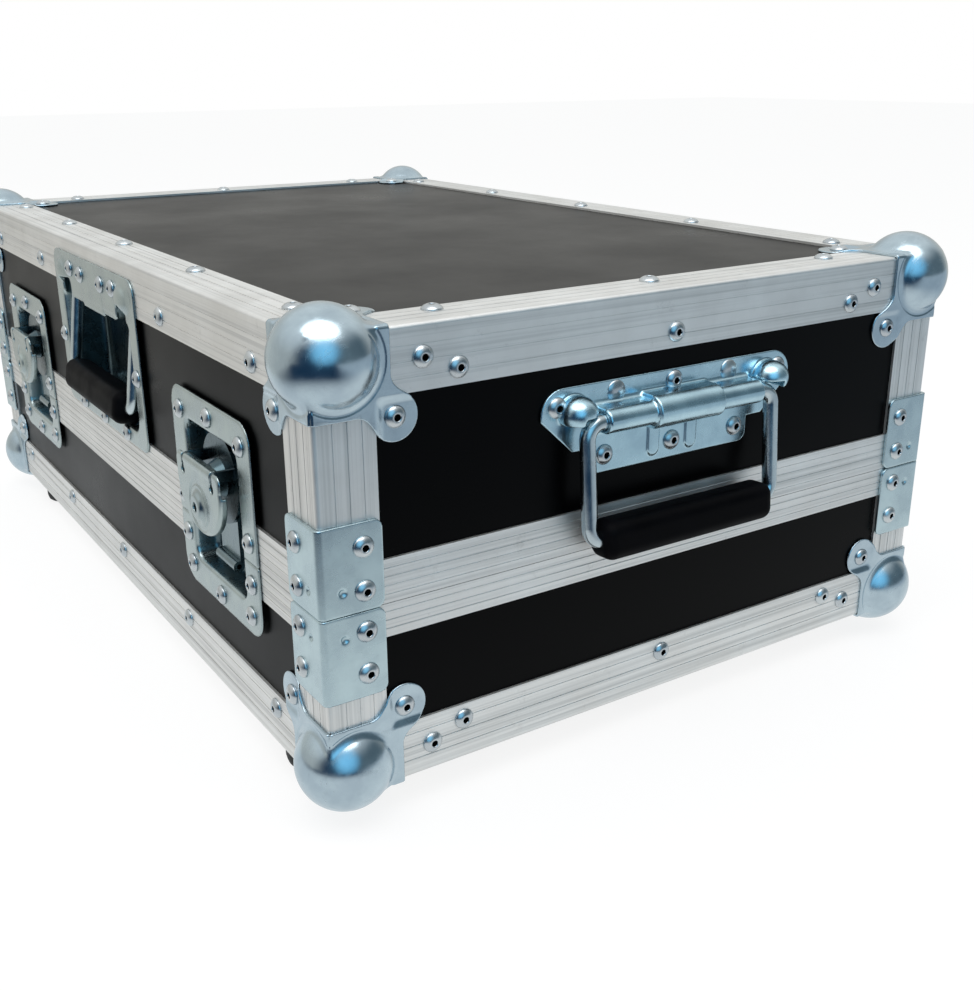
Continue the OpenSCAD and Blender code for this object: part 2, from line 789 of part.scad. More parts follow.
// Frames with the bail's axis on x and the bail hanging along -z at rest.
module end_bail_frame(e)
    end_frame(e) translate([0, end_axis_y, end_axis_z]) rotate([-bail_lean, 0, 0]) children();
module recess_frame() on_front() translate([0, 0, z_split]) children();
module recess_bail_frame()
    recess_frame() translate([0, rec_axis_y, rec_axis_z]) rotate([-rec_lean, 0, 0]) children();

module end_bail(e) color(zinc_col) end_bail_frame(e) bail_loop();
module end_grip(e) color(rubber_col) end_bail_frame(e) bail_grip();
module recessed_bail() color(zinc_col) recess_bail_frame() bail_loop();
module recessed_grip() color(rubber_col) recess_bail_frame() bail_grip();
module recessed_handle_spring() color(zinc_col)
    recess_frame() translate([0, rec_axis_y, rec_axis_z]) spring_coils();

// ---------------------------------------------------------------- recessed handle

// Face plate with a pressed dish and, behind its top strip, the bridge that the bail turns in.
module recessed_handle_dish() color(zinc_col)
    recess_frame()
        difference() {
            union() {
                difference() {
                    union() {
                        sheet(-latch_t, 0) plate_shape(-recess_w / 2, rec_low, recess_w / 2, rec_top, 5, 12);
                        sheet(-latch_t, rec_deep + dish_wall)
                            plate_shape(-rec_dish_half - dish_wall, rec_dish_low - dish_wall,
                                        rec_dish_half + dish_wall, rec_room_top + dish_wall, dish_r, dish_r);
                    }
                    sheet(-latch_t - cut_over, rec_deep)
                        plate_shape(-rec_dish_half, rec_dish_low, rec_dish_half, rec_dish_top, dish_r, dish_r);
                    sheet(0, rec_deep)
                        plate_shape(-rec_dish_half, rec_dish_low, rec_dish_half, rec_room_top, dish_r, dish_r);
                }
                rec_bridge(rec_knuckle_half, knuckle_r);
                rec_bridge(sleeve_half, sleeve_r);
            }
            for (s = [0, 1])
                mirror([s, 0, 0])
                    translate([rec_slot_from, -latch_t - cut_over, rec_dish_top - cut_over])
                        cube([bail_span / 2 + bail_r + 1 - rec_slot_from, latch_t + 2 * cut_over,
                              rec_axis_z + bail_r + 1 - rec_dish_top + cut_over]);
            translate([0, rec_axis_y, rec_axis_z]) bar(-recess_w, recess_w, bail_r + run_gap);
            translate([0, rec_axis_y, rec_axis_z]) bar(-sleeve_half + 1.5, sleeve_half - 1.5, spring_bore);
        }
module rec_bridge(half, r) {
    translate([0, rec_axis_y, rec_axis_z]) bar(-half, half, r);
    translate([-half, -latch_t / 2, rec_axis_z - r]) cube([2 * half, rec_axis_y + latch_t / 2, 2 * r]);
}

// ---------------------------------------------------------------- rivets

// Cross-section of a domed head of radius r on a shank, with a hole of radius hole down its middle.
module rivet_section(r, shank, deep, hole) {
    polygon([[0, -deep], [shank, -deep], [shank, 0], [r, 0], [r * 0.94, dome_h * 0.4],
             [r * 0.78, dome_h * 0.75], [r * 0.54, dome_h * 0.95], [max(hole, r * 0.3), dome_h],
             [hole, dome_h], [hole, -deep / 2], [0, -deep / 2]]);
}
// Blind rivet pointing out along -y, its head's seat at y = seat.
module rivet(seat = 0) translate([0, seat, 0]) rotate([90, 0, 0])
    rotate_extrude() rivet_section(rivet_r, rivet_shank_d / 2, shank_l, mandrel_r);

// Solid dome that joins the end handle's stops to its face plate.
module dome_stud(seat = 0) translate([0, seat, 0]) rotate([90, 0, 0])
    rotate_extrude()
        polygon([[0, -plate_t / 2], [stud_r - 1.5, -plate_t / 2], [stud_r - 1.5, 0], [stud_r, 0],
                 [stud_r * 0.94, dome_h * 0.4], [stud_r * 0.78, dome_h * 0.75],
                 [stud_r * 0.54, dome_h * 0.95], [0, dome_h]]);

// Rivets of one flange along an edge, at a height z in a face frame.
module long_row(z, skip_mid)
    for (k = [-2 : 2])
        if (!(skip_mid && k == 0)) translate([k * long_pitch, 0, z]) rivet();
module short_row(z) for (k = [-1 : 1]) translate([k * short_pitch, 0, z]) rivet();
module ball_pair(len, z)
    for (s = [-1, 1]) translate([s * (len / 2 - lobe_at), 0, z]) rivet(skin - ball_t);
module brace_pairs(len, z, dir)
    for (s = [-1, 1])
        for (up = [10, 31])
            translate([s * (len / 2 - brace_in), 0, z + dir * up]) rivet(-brace_t);

module side_rivets(z_edge, dir) {
    // dir = 1 for the base, whose edge lies below, and -1 for the lid.
    z_row = z_edge + dir * edge_rivet_in;
    z_ball = z_edge + dir * lobe_at;
    on_front() long_row(z_row, dir < 0);
    on_rear() long_row(z_row, false);
    for (e = ENDS)
        on_end(e) {
            short_row(z_row);
            for (s = [-1, 1])
                translate([s * (case_d / 2 - extra_rivet_back), 0, z_edge + dir * extra_rivet_in]) rivet();
            ball_pair(case_d, z_ball);
            brace_pairs(case_d, z_split, -dir);
        }
    on_front() ball_pair(case_w, z_ball);
    on_rear() ball_pair(case_w, z_ball);
    on_front() brace_pairs(case_w, z_split, -dir);
    on_rear() brace_pairs(case_w, z_split, -dir);
}
// Rivets on a level face, in a frame where -y points out of it and z runs across the case.
// The base keeps the outermost places of its long rows free for the feet.
module level_rivets(k_max) {
    for (s = [-1, 1]) {
        for (k = [-k_max : k_max]) translate([k * long_pitch, 0, s * (case_d / 2 - edge_rivet_in)]) rivet();
        for (k = [-1 : 1]) translate([s * (case_w / 2 - edge_rivet_in), 0, k * short_pitch]) rivet();
        for (t = [-1, 1])
            translate([s * (case_w / 2 - lobe_at), 0, t * (case_d / 2 - lobe_at)]) rivet(skin - ball_t);
    }
}
latch_rivet_u = 42;
module latch_lid_rivets() {
    for (s = [-1, 1]) {
        translate([s * (latch_rivet_u - 1), 0, 59]) rivet(-latch_t);
        translate([s * (latch_rivet_u + 2), 0, 10.5]) rivet(-latch_t);
    }
    translate([0, 0, 63.5]) rivet(-latch_t);
}
module latch_base_rivets() {
    for (s = [-1, 1]) {
        translate([s * (latch_rivet_u + 2), 0, -11.5]) rivet(-latch_t);
        translate([s * (latch_rivet_u - 1), 0, -29.5]) rivet(-latch_t);
    }
    translate([0, 0, -33.5]) rivet(-latch_t);
}
module end_handle_rivets() {
    face = skin - plate_t;
    for (s = [-1, 1]) {
        translate([s * 72.8, 0, 76.4]) rivet(face);
        translate([s * 37.2, 0, 79.3]) dome_stud(face);
        translate([s * 43.7, 0, 48.2]) rivet(face);
    }
    translate([0, 0, 79.5]) rivet(face);
    translate([0, 0, 48.2]) rivet(face);
}
module recess_rivets() {
    for (s = [-1, 1]) {
        translate([s * 21.5, 0, 106.5]) rivet(-latch_t);
        translate([s * 45, 0, 107.5]) rivet(-latch_t);
        translate([s * 76.5, 0, 60]) rivet(-latch_t);
    }
    for (s = [-1 : 1]) translate([s * 45, 0, 20.3]) rivet(-latch_t);
}

module base_rivets() color(zinc_col) {
    side_rivets(z_low, 1);
    translate([0, 0, z_low]) rotate([90, 0, 0]) level_rivets(1);
    for (l = LATCHES) at_latch(l) latch_base_rivets();
}
module lid_rivets() color(zinc_col) {
    side_rivets(z_top, -1);
    translate([0, 0, z_top]) rotate([-90, 0, 0]) level_rivets(2);
    for (l = LATCHES) at_latch(l) latch_lid_rivets();
    for (e = ENDS) end_frame(e) end_handle_rivets();
    recess_frame() recess_rivets();
}

// ---------------------------------------------------------------- nodes

base_bottom_panel();
base_front_panel();
base_rear_panel();
base_right_panel();
base_left_panel();
base_long_edges();
base_short_edges();
base_corner_posts();
groove_profile_long();
groove_profile_short();
base_ball_corners();
base_corner_braces();
feet();
foot_screws();
keeper_plates();
base_foam();
base_rivets();
lid_top_panel();
lid_front_panel();
lid_rear_panel();
lid_right_panel();
lid_left_panel();
lid_long_edges();
lid_short_edges();
lid_corner_posts();
tongue_profile_long();
tongue_profile_short();
lid_ball_corners();
lid_corner_braces();
latch_dishes();
recessed_handle_dish();
lid_foam();
lid_rivets();
for (e = ENDS) {
    end_handle_plate(e);
    end_handle_spring(e);
    end_bail(e);
    end_grip(e);
}
recessed_handle_spring();
recessed_bail();
recessed_grip();
for (l = LATCHES) {
    color(zinc_col) at_latch(l) latch_rotor();
    color(zinc_col) at_latch(l) latch_wing();
    color(zinc_col) at_latch(l) latch_hook();
}
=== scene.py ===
"""Lidded transport case: pressed steel hardware, aluminium profiles and laminated panels."""
import math

import bpy
import numpy as np
from mathutils import Matrix, Vector


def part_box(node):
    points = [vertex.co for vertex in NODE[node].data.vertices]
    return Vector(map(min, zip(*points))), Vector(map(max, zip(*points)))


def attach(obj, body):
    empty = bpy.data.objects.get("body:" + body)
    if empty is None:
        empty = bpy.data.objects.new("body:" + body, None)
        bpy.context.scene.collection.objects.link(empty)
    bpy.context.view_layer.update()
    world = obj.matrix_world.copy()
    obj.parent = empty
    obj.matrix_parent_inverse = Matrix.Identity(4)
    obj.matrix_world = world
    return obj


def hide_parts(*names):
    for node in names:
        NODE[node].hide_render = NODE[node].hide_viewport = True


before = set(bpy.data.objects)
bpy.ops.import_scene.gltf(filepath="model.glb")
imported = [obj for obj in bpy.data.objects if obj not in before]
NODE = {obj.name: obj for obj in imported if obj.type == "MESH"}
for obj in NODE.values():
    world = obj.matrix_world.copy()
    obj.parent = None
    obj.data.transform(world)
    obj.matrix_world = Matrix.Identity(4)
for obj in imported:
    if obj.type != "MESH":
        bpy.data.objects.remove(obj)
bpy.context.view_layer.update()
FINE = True
MM = 0.001

# ---------------------------------------------------------------- sizes, in millimetres, as in the CAD

CASE_W, CASE_D, CASE_H = 617.0, 398.0, 220.5
FOOT_H, SPLIT = 18.0, 94.5
Z_LOW, Z_SPLIT, Z_TOP = FOOT_H, FOOT_H + SPLIT, FOOT_H + CASE_H
HALF_GAP = 0.15
SKIN = 1.6
LATCH_X = 187.0
BALL_R, BALL_IN, SHEET = 24.0, 12.8, 1.5
LOBE_IN, LOBE_R = 39.5, 11.5
ROUND = 28 if FINE else 16


def rot_z(deg):
    return Matrix.Rotation(math.radians(deg), 4, "Z")


def shift(x, y, z):
    return Matrix.Translation((x * MM, y * MM, z * MM))


# Face frames: x along the face, -y out of it, z up.
ON_FRONT = shift(0, -CASE_D / 2, 0)
ON_RIGHT = shift(CASE_W / 2, 0, 0) @ rot_z(90)
ON_LEFT = rot_z(180) @ ON_RIGHT
LATCHES = {
    "front_right": shift(LATCH_X, -CASE_D / 2, Z_SPLIT),
    "front_left": shift(-LATCH_X, -CASE_D / 2, Z_SPLIT),
    "rear_right": rot_z(180) @ shift(-LATCH_X, -CASE_D / 2, Z_SPLIT),
    "rear_left": rot_z(180) @ shift(LATCH_X, -CASE_D / 2, Z_SPLIT),
}

# ---------------------------------------------------------------- distance functions


def smooth(a, b, v):
    t = np.clip((v - a) / (b - a), 0, 1)
    return t * t * (3 - 2 * t)


def join(a, b, r):
    """Union with a round fillet of radius r."""
    return np.maximum(r, np.minimum(a, b)) - np.hypot(np.maximum(r - a, 0), np.maximum(r - b, 0))


def meet(a, b, r):
    """Intersection with a round edge of radius r."""
    return np.minimum(-r, np.maximum(a, b)) + np.hypot(np.maximum(r + a, 0), np.maximum(r + b, 0))


def cut(a, b, r):
    """a without b, with a round edge."""
    return meet(a, -b, r)


def rect(x, y, x0, y0, x1, y1, r):
    """Rounded rectangle."""
    qx = np.abs(x - (x0 + x1) / 2) - (x1 - x0) / 2 + r
    qy = np.abs(y - (y0 + y1) / 2) - (y1 - y0) / 2 + r
    return np.hypot(np.maximum(qx, 0), np.maximum(qy, 0)) + np.minimum(np.maximum(qx, qy), 0) - r


def between(v, a, b):
    return np.maximum(a - v, v - b)


def polygon(x, y, pts):
    """Signed distance to a closed polygon."""
    d = np.full(np.broadcast(x, y).shape, 1e9)
    inside = np.zeros(d.shape, bool)
    for (ax, ay), (bx, by) in zip(pts, pts[-1:] + pts[:-1]):
        ex, ey = bx - ax, by - ay
        wx, wy = x - ax, y - ay
        t = np.clip((wx * ex + wy * ey) / (ex * ex + ey * ey), 0, 1)
        d = np.minimum(d, np.hypot(wx - ex * t, wy - ey * t))
        crosses = (ay > y) != (by > y)
        if abs(ey) > 1e-9:
            inside ^= crosses & (x < ax + ex * (y - ay) / ey)
    return np.where(inside, -d, d)


# ---------------------------------------------------------------- surface from a distance function


COARSER = 1.7
SLAB = 24  # layers of the grid worked out at once
ROUNDS, LEAST_SLOPE = 4, 0.2
FARTHEST_MOVE, FARTHEST_FROM_HOME = 0.5, 0.9  # in grid steps


def surface(name, f, lo, hi, step, keep):
    """Mesh of f = 0 inside the box lo..hi. keep is the share of its faces that thinning leaves."""
    if not FINE:
        step *= COARSER
    ax = [np.arange(lo[i] - step, hi[i] + 2 * step, step) for i in range(3)]
    n = [len(a) for a in ax]
    g = np.empty(n)
    for i in range(0, n[0], SLAB):
        g[i : i + SLAB] = f(ax[0][i : i + SLAB, None, None], ax[1][None, :, None], ax[2][None, None, :])
    s = g < 0
    c = np.zeros([k - 1 for k in n], np.uint8)
    for i in (0, 1):
        for j in (0, 1):
            for k in (0, 1):
                c += s[i : n[0] - 1 + i, j : n[1] - 1 + j, k : n[2] - 1 + k]
    act = (c > 0) & (c < 8)
    cells = np.argwhere(act)
    idx = np.full(act.shape, -1)
    idx[act] = np.arange(len(cells))
    acc, cnt = np.zeros((len(cells), 3)), np.zeros(len(cells))
    for a in range(3):
        o1, o2 = [k for k in range(3) if k != a]
        for p in (0, 1):
            for q in (0, 1):
                off = np.zeros(3, int)
                off[o1], off[o2] = p, q
                far = off.copy()
                far[a] = 1
                v0 = g[tuple((cells + off).T)]
                v1 = g[tuple((cells + far).T)]
                m = (v0 < 0) != (v1 < 0)
                t = np.where(m, v0 / np.where(m, v0 - v1, 1), 0)
                pos = np.tile(off.astype(float), (len(cells), 1))
                pos[:, a] = t
                acc[m] += pos[m]
                cnt[m] += 1
    start = np.array([a[0] for a in ax])
    p = start + step * (cells + acc / cnt[:, None])
    home, h = p.copy(), step * 0.08
    for _ in range(ROUNDS):
        v = f(p[:, 0], p[:, 1], p[:, 2])
        grad = np.stack([(f(*(p + h * e).T) - f(*(p - h * e).T)) / (2 * h) for e in np.eye(3)], 1)
        move = -v[:, None] * grad / np.maximum((grad * grad).sum(1), LEAST_SLOPE)[:, None]
        p = p + np.clip(move, -FARTHEST_MOVE * step, FARTHEST_MOVE * step)
        p = home + np.clip(p - home, -FARTHEST_FROM_HOME * step, FARTHEST_FROM_HOME * step)
    quads = []
    for a in range(3):
        o1, o2 = (a + 1) % 3, (a + 2) % 3
        lo_s = [slice(1, k - 1) for k in n]
        hi_s = list(lo_s)
        lo_s[a], hi_s[a] = slice(0, n[a] - 1), slice(1, n[a])
        s0, s1 = s[tuple(lo_s)], s[tuple(hi_s)]
        for way in (0, 1):
            e = np.argwhere((s0 & ~s1) if way == 0 else (~s0 & s1))
            base = e + 1
            base[:, a] -= 1
            ring = []
            for d1, d2 in ((0, 0), (1, 0), (1, 1), (0, 1)):
                q = base.copy()
                q[:, o1] -= 1 - d1
                q[:, o2] -= 1 - d2
                ring.append(idx[tuple(q.T)])
            ring = np.stack(ring, 1)
            quads.append(ring if way == 0 else ring[:, ::-1])
    quads = np.concatenate(quads)
    me = thinned(raw_mesh(name, p * MM, quads), keep)
    me.shade_smooth()
    return me


def raw_mesh(name, points, faces):
    """Mesh from an array of points and an array of faces, all with the same number of corners."""
    me = bpy.data.meshes.new(name)
    k = faces.shape[1]
    me.vertices.add(len(points))
    me.vertices.foreach_set("co", np.asarray(points, np.float32).ravel())
    me.loops.add(faces.size)
    me.loops.foreach_set("vertex_index", faces.astype(np.int32).ravel())
    me.polygons.add(len(faces))
    me.polygons.foreach_set("loop_start", np.arange(0, faces.size, k, dtype=np.int32))
    me.update(calc_edges=True)
    me.validate()
    return me


def thinned(me, keep):
    """The same surface with fewer faces, taken from its flat parts first."""
    ob = bpy.data.objects.new("thin", me)
    bpy.context.scene.collection.objects.link(ob)
    mod = ob.modifiers.new("thin", "DECIMATE")
    mod.ratio = keep
    bpy.context.view_layer.update()
    out = bpy.data.meshes.new_from_object(ob.evaluated_get(bpy.context.evaluated_depsgraph_get()))
    out.name = me.name + "_mesh"
    bpy.data.objects.remove(ob)
    return out


def lathe(profile, around):
    """Points and quads of a profile of (radius, height) turned about z."""
    prof = np.array(profile, float)
    m = len(prof)
    t = np.arange(around) * 2 * math.pi / around
    pts = np.zeros((m * around, 3))
    for i in range(m):
        pts[i * around : (i + 1) * around, 0] = prof[i, 0] * np.cos(t)
        pts[i * around : (i + 1) * around, 1] = prof[i, 0] * np.sin(t)
        pts[i * around : (i + 1) * around, 2] = prof[i, 1]
    quads = []
    for i in range(m - 1):
        for j in range(around):
            k = (j + 1) % around
            quads.append([i * around + j, i * around + k, (i + 1) * around + k, (i + 1) * around + j])
    return pts, np.array(quads)


def piece(name, me, body, node, mat, place=None, slot="zinc_hardware"):
    """One visible piece: its mesh moved to its place, its body, what it stands for and its material."""
    me = me.copy()
    me.name = name
    if place is not None:
        me.transform(place)
        if place.to_3x3().determinant() < 0:
            me.flip_normals()
    kinds = np.zeros(len(me.polygons), np.int32)
    me.polygons.foreach_get("material_index", kinds)
    me.materials.clear()
    for m in mat if isinstance(mat, list) else [mat]:
        me.materials.append(m)
    me.polygons.foreach_set("material_index", kinds)
    ob = bpy.data.objects.new(name, me)
    bpy.context.scene.collection.objects.link(ob)
    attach(ob, body)
    for n in [node] if isinstance(node, str) else node:
        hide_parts(n)
    if slot == "zinc_hardware" and len(ob.data.materials) == 1:
        ob.modifiers.new("flat_faces_keep_their_normals", "WEIGHTED_NORMAL").mode = "FACE_AREA"
    return ob


def merged(name, meshes_and_places):
    """One mesh of several placed copies."""
    pts, polys, mats, at = [], [], [], 0
    for me, place in meshes_and_places:
        co = np.zeros(len(me.vertices) * 3, np.float32)
        me.vertices.foreach_get("co", co)
        co = co.reshape(-1, 3)
        m = np.array(place)
        pts.append(co @ m[:3, :3].T + m[:3, 3])
        rings = [tuple(p.vertices) for p in me.polygons]
        mats += [p.material_index for p in me.polygons]
        flip = np.linalg.det(m[:3, :3]) < 0
        polys += [tuple(v + at for v in (ring[::-1] if flip else ring)) for ring in rings]
        at += len(co)
    out = bpy.data.meshes.new(name)
    out.from_pydata(np.concatenate(pts).tolist(), [], polys)
    out.polygons.foreach_set("material_index", mats)
    out.validate()
    out.shade_smooth()
    return out


# ---------------------------------------------------------------- materials


class Graph:
    """Short ways to add nodes to a node tree. Any input is a number, a colour or another node's output."""

    def __init__(self, tree):
        self.t = tree

    def node(self, kind, *inputs, **values):
        n = self.t.nodes.new(kind)
        for k, v in values.items():
            setattr(n, k, v)
        for i, v in enumerate(inputs):
            if hasattr(v, "is_linked"):
                self.t.links.new(v, n.inputs[i])
            elif v is not None:
                n.inputs[i].default_value = v
        return n

    def math(self, op, *args):
        return self.node("ShaderNodeMath", *args, operation=op).outputs[0]

    def step(self, v, a, b, lo=0.0, hi=1.0):
        """Smooth step from lo at a to hi at b."""
        return self.node("ShaderNodeMapRange", v, a, b, lo, hi, interpolation_type="SMOOTHSTEP").outputs[0]

    def mix(self, fac, a, b):
        n = self.node("ShaderNodeMix", data_type="RGBA")
        for key, v in ((0, fac), (6, a), (7, b)):
            if hasattr(v, "is_linked"):
                self.t.links.new(v, n.inputs[key])
            else:
                n.inputs[key].default_value = v if key == 0 else (*v, 1)
        return n.outputs[2]


class Mat(Graph):
    """A material around one Principled shader, its textures in the object's own coordinates."""

    def __init__(self, name):
        self.m = bpy.data.materials.new(name)
        self.m.use_nodes = True
        super().__init__(self.m.node_tree)
        self.bsdf = self.t.nodes["Principled BSDF"]
        self.co = self.node("ShaderNodeTexCoord").outputs["Object"]

    def stretched(self, scale):
        return self.node("ShaderNodeMapping", self.co, None, None, scale).outputs["Vector"]

    def noise(self, vec, scale, detail, rough):
        return self.node("ShaderNodeTexNoise", vec, None, scale, detail, rough).outputs["Fac"]

    def cells(self, scale):
        return self.node("ShaderNodeTexVoronoi", self.co, None, scale, feature="F1").outputs["Distance"]

    def span(self, fac, lo, hi, a=0.0, b=1.0):
        """Straight line from lo at a to hi at b."""
        return self.node("ShaderNodeMapRange", fac, a, b, lo, hi).outputs["Result"]

    def bump(self, height, distance, strength, after=None):
        n = self.node("ShaderNodeBump")
        n.inputs["Distance"].default_value = distance
        n.inputs["Strength"].default_value = strength
        self.t.links.new(height, n.inputs["Height"])
        if after is not None:
            self.t.links.new(after, n.inputs["Normal"])
        return n.outputs["Normal"]

    def set(self, **sockets):
        for k, v in sockets.items():
            s = self.bsdf.inputs[k.replace("_", " ")]
            if hasattr(v, "is_linked"):
                self.t.links.new(v, s)
            else:
                s.default_value = (*v, 1) if isinstance(v, tuple) and len(v) == 3 else v


def aluminium(name, along):
    """Extruded aluminium with die lines along the run, faint handling marks and cloudy oxide."""
    m = Mat(name)

    def drawn(across, along_it, detail, rough):
        scale = [across] * 3
        scale[along] = along_it
        return m.noise(m.stretched(scale), 1.0, detail, rough)

    lines = drawn(420.0, 3.0, 3.0, 0.6)
    fine = drawn(1500.0, 14.0, 2.0, 0.7)
    cloud = m.noise(m.co, 26.0, 5.0, 0.6)
    marks = m.noise(m.stretched((90, 90, 90)), 1.0, 8.0, 0.75)
    tone = m.mix(m.span(cloud, 0, 1, 0.35, 0.7), (0.82, 0.81, 0.79), (0.93, 0.92, 0.90))
    tone = m.mix(m.span(lines, 0, 0.5, 0.45, 0.75), tone, (0.46, 0.455, 0.44))
    tone = m.mix(m.span(marks, 0, 0.35, 0.6, 0.75), tone, (0.40, 0.39, 0.38))
    rough = m.math("ADD", m.span(lines, 0.44, 0.58, 0.3, 0.7), m.span(cloud, -0.05, 0.07, 0.3, 0.7))
    m.set(Base_Color=tone, Metallic=1.0, Roughness=rough)
    n = m.bump(lines, 0.00012, 0.5)
    m.set(Normal=m.bump(fine, 0.00003, 0.6, n))
    return m.m


# Painted shade inside the dishes: between these two depths behind the face of the case, the colour goes this
# far towards the shade colour.
PAINTED_SHADE_FROM, PAINTED_SHADE_TO, PAINTED_SHADE_MOST = 1.5 * MM, 9 * MM, 0.8


def zinc(name, polish, tint, painted_depth_shade=None):
    """Bright zinc plate on pressed steel: cold tint, cloudy passivation and fine scuffs.

    The last argument, when given, is painted shade: the colour that a dish is darkened towards with its
    depth behind the face of the case.
    """
    m = Mat(name)
    cloud = m.noise(m.co, 60.0, 4.0, 0.55)
    grain = m.noise(m.co, 900.0, 3.0, 0.6)
    scuff = m.noise(m.stretched((700, 90, 160)), 1.0, 6.0, 0.7)
    t = np.array(tint)
    dull, clear = tuple(t * 0.86 + (0.0, 0.01, 0.03)), tuple(np.minimum(t * 1.1, 1))
    tone = m.mix(m.span(cloud, 0, 1, 0.36, 0.66), dull, clear)
    tone = m.mix(m.span(scuff, 0, 0.4, 0.6, 0.8), tone, tuple(t * 0.62))
    # painted shade: deeper inside a dish, the colour is darkened towards the given shade colour
    if painted_depth_shade:
        y = m.node("ShaderNodeSeparateXYZ", m.co).outputs[1]
        depth = m.math("SUBTRACT", CASE_D / 2 * MM, m.math("ABSOLUTE", y))
        tone = m.mix(m.span(depth, 0, PAINTED_SHADE_MOST, PAINTED_SHADE_FROM, PAINTED_SHADE_TO), tone, painted_depth_shade)
    haze = m.span(cloud, polish - 0.04, polish + 0.08, 0.3, 0.7)
    rough = m.math("ADD", haze, m.span(scuff, 0, 0.12, 0.5, 0.75))
    m.set(Base_Color=tone, Metallic=1.0, Roughness=rough)
    n = m.bump(grain, 0.00002, 0.35)
    m.set(Normal=m.bump(cloud, 0.00025, 0.25, n))
    return m.m


def laminate():
    """Black laminate on plywood: a fine pebbled skin with light dust."""
    m = Mat("panel_laminate")
    pebble = m.cells(1400.0)
    cloud = m.noise(m.co, 9.0, 5.0, 0.6)
    dust = m.noise(m.co, 420.0, 6.0, 0.8)
    tone = m.mix(m.span(cloud, 0, 1, 0.35, 0.7), (0.0002, 0.0002, 0.0004), (0.0005, 0.0005, 0.0008))
    tone = m.mix(m.span(dust, 0, 0.3, 0.7, 0.8), tone, (0.03, 0.03, 0.03))
    m.set(Base_Color=tone, Roughness=m.span(cloud, 0.26, 0.36, 0.3, 0.7), IOR=1.155)
    m.set(Normal=m.bump(pebble, 0.00006, 0.35))
    return m.m


def rubber(name, base, rough, shine=0.4):
    """Moulded black rubber, matt and slightly dusty."""
    m = Mat(name)
    cloud = m.noise(m.co, 45.0, 5.0, 0.6)
    grain = m.noise(m.co, 1600.0, 4.0, 0.7)
    tone = m.mix(m.span(cloud, 0, 1, 0.4, 0.75), base, tuple(np.array(base) * 2.2))
    haze = m.span(cloud, rough - 0.08, rough + 0.1, 0.3, 0.7)
    m.set(Base_Color=tone, Roughness=haze, Specular_IOR_Level=shine)
    m.set(Normal=m.bump(grain, 0.00008, 0.4))
    return m.m


def foam():
    """Open-cell charcoal foam."""
    m = Mat("foam")
    cell = m.cells(700.0)
    cloud = m.noise(m.co, 30.0, 4.0, 0.6)
    tone = m.mix(m.span(cell, 0, 1, 0.1, 0.7), (0.055, 0.055, 0.06), (0.016, 0.016, 0.018))
    tone = m.mix(m.span(cloud, 0, 0.4, 0.5, 0.7), tone, (0.075, 0.075, 0.08))
    m.set(Base_Color=tone, Roughness=m.span(cloud, 0.9, 1.0), Specular_IOR_Level=0.15)
    m.set(Normal=m.bump(cell, 0.0006, 0.8))
    return m.m


ALU = [aluminium("aluminium_along_" + a, i) for i, a in enumerate("xyz")]
ZINC = zinc("zinc_pressed", 0.25, (0.53, 0.65, 0.68))
# the dish zinc darkens to painted shade with its depth inside the dish
ZINC_DISH = zinc("zinc_dish", 0.25, (0.44, 0.505, 0.495), (0.06, 0.11, 0.13))
# painted shade: the hook's zinc is made darker, standing in for the shade inside the dish
ZINC_HOOK_SHADED = zinc("zinc_hook_painted_shade", 0.22, (0.22, 0.28, 0.29))
# painted shade: the rotor's zinc is made near-black, standing in for the shade it lies in inside the dish
ZINC_ROTOR_SHADED = zinc("zinc_rotor_painted_shade", 0.22, (0.09, 0.13, 0.14))
ZINC_END = zinc("zinc_end_plate", 0.22, (0.50, 0.69, 0.77))
ZINC_BALL = zinc("zinc_ball", 0.18, (0.50, 0.60, 0.655))
ZINC_ROD = zinc("zinc_rod", 0.18, (0.54, 0.61, 0.63))
RIVET = zinc("rivet_head", 0.24, (0.60, 0.63, 0.64))
# near-black painted shade for the rivets' mandrel craters, standing in for the shade deep in the hole
RIVET_CRATER_SHADE = rubber("rivet_crater_painted_shade", (0.001, 0.001, 0.001), 0.9, 0.05)
BOARD = laminate()
GRIP = rubber("grip_rubber", (0.0015, 0.0015, 0.002), 0.5, 0.04)
FOOT_RUBBER = rubber("foot_rubber", (0.02, 0.02, 0.02), 0.7)
FOAM = foam()


def dress(name, mat):
    """One material on a CAD node that keeps its own shape."""
    ob = NODE[name]
    ob.data.materials.clear()
    ob.data.materials.append(mat)


for side in ("base", "lid"):
    dress(side + "_long_edges", ALU[0])
    dress(side + "_short_edges", ALU[1])
    dress(side + "_corner_posts", ALU[2])
    for face in ("front", "rear", "right", "left"):
        dress(f"{side}_{face}_panel", BOARD)
dress("base_bottom_panel", BOARD)
dress("lid_top_panel", BOARD)
for part in ("groove", "tongue"):
    dress(part + "_profile_long", ALU[0])
    dress(part + "_profile_short", ALU[1])
for name in NODE:
    if "bail" in name:
        dress(name, ZINC_ROD)
    elif "latch_rotor" in name:
        dress(name, ZINC_ROTOR_SHADED)
    elif "latch_hook" in name:
        dress(name, ZINC_HOOK_SHADED)
    elif "spring" in name or name == "foot_screws":
        dress(name, ZINC)

# ---------------------------------------------------------------- ball corners


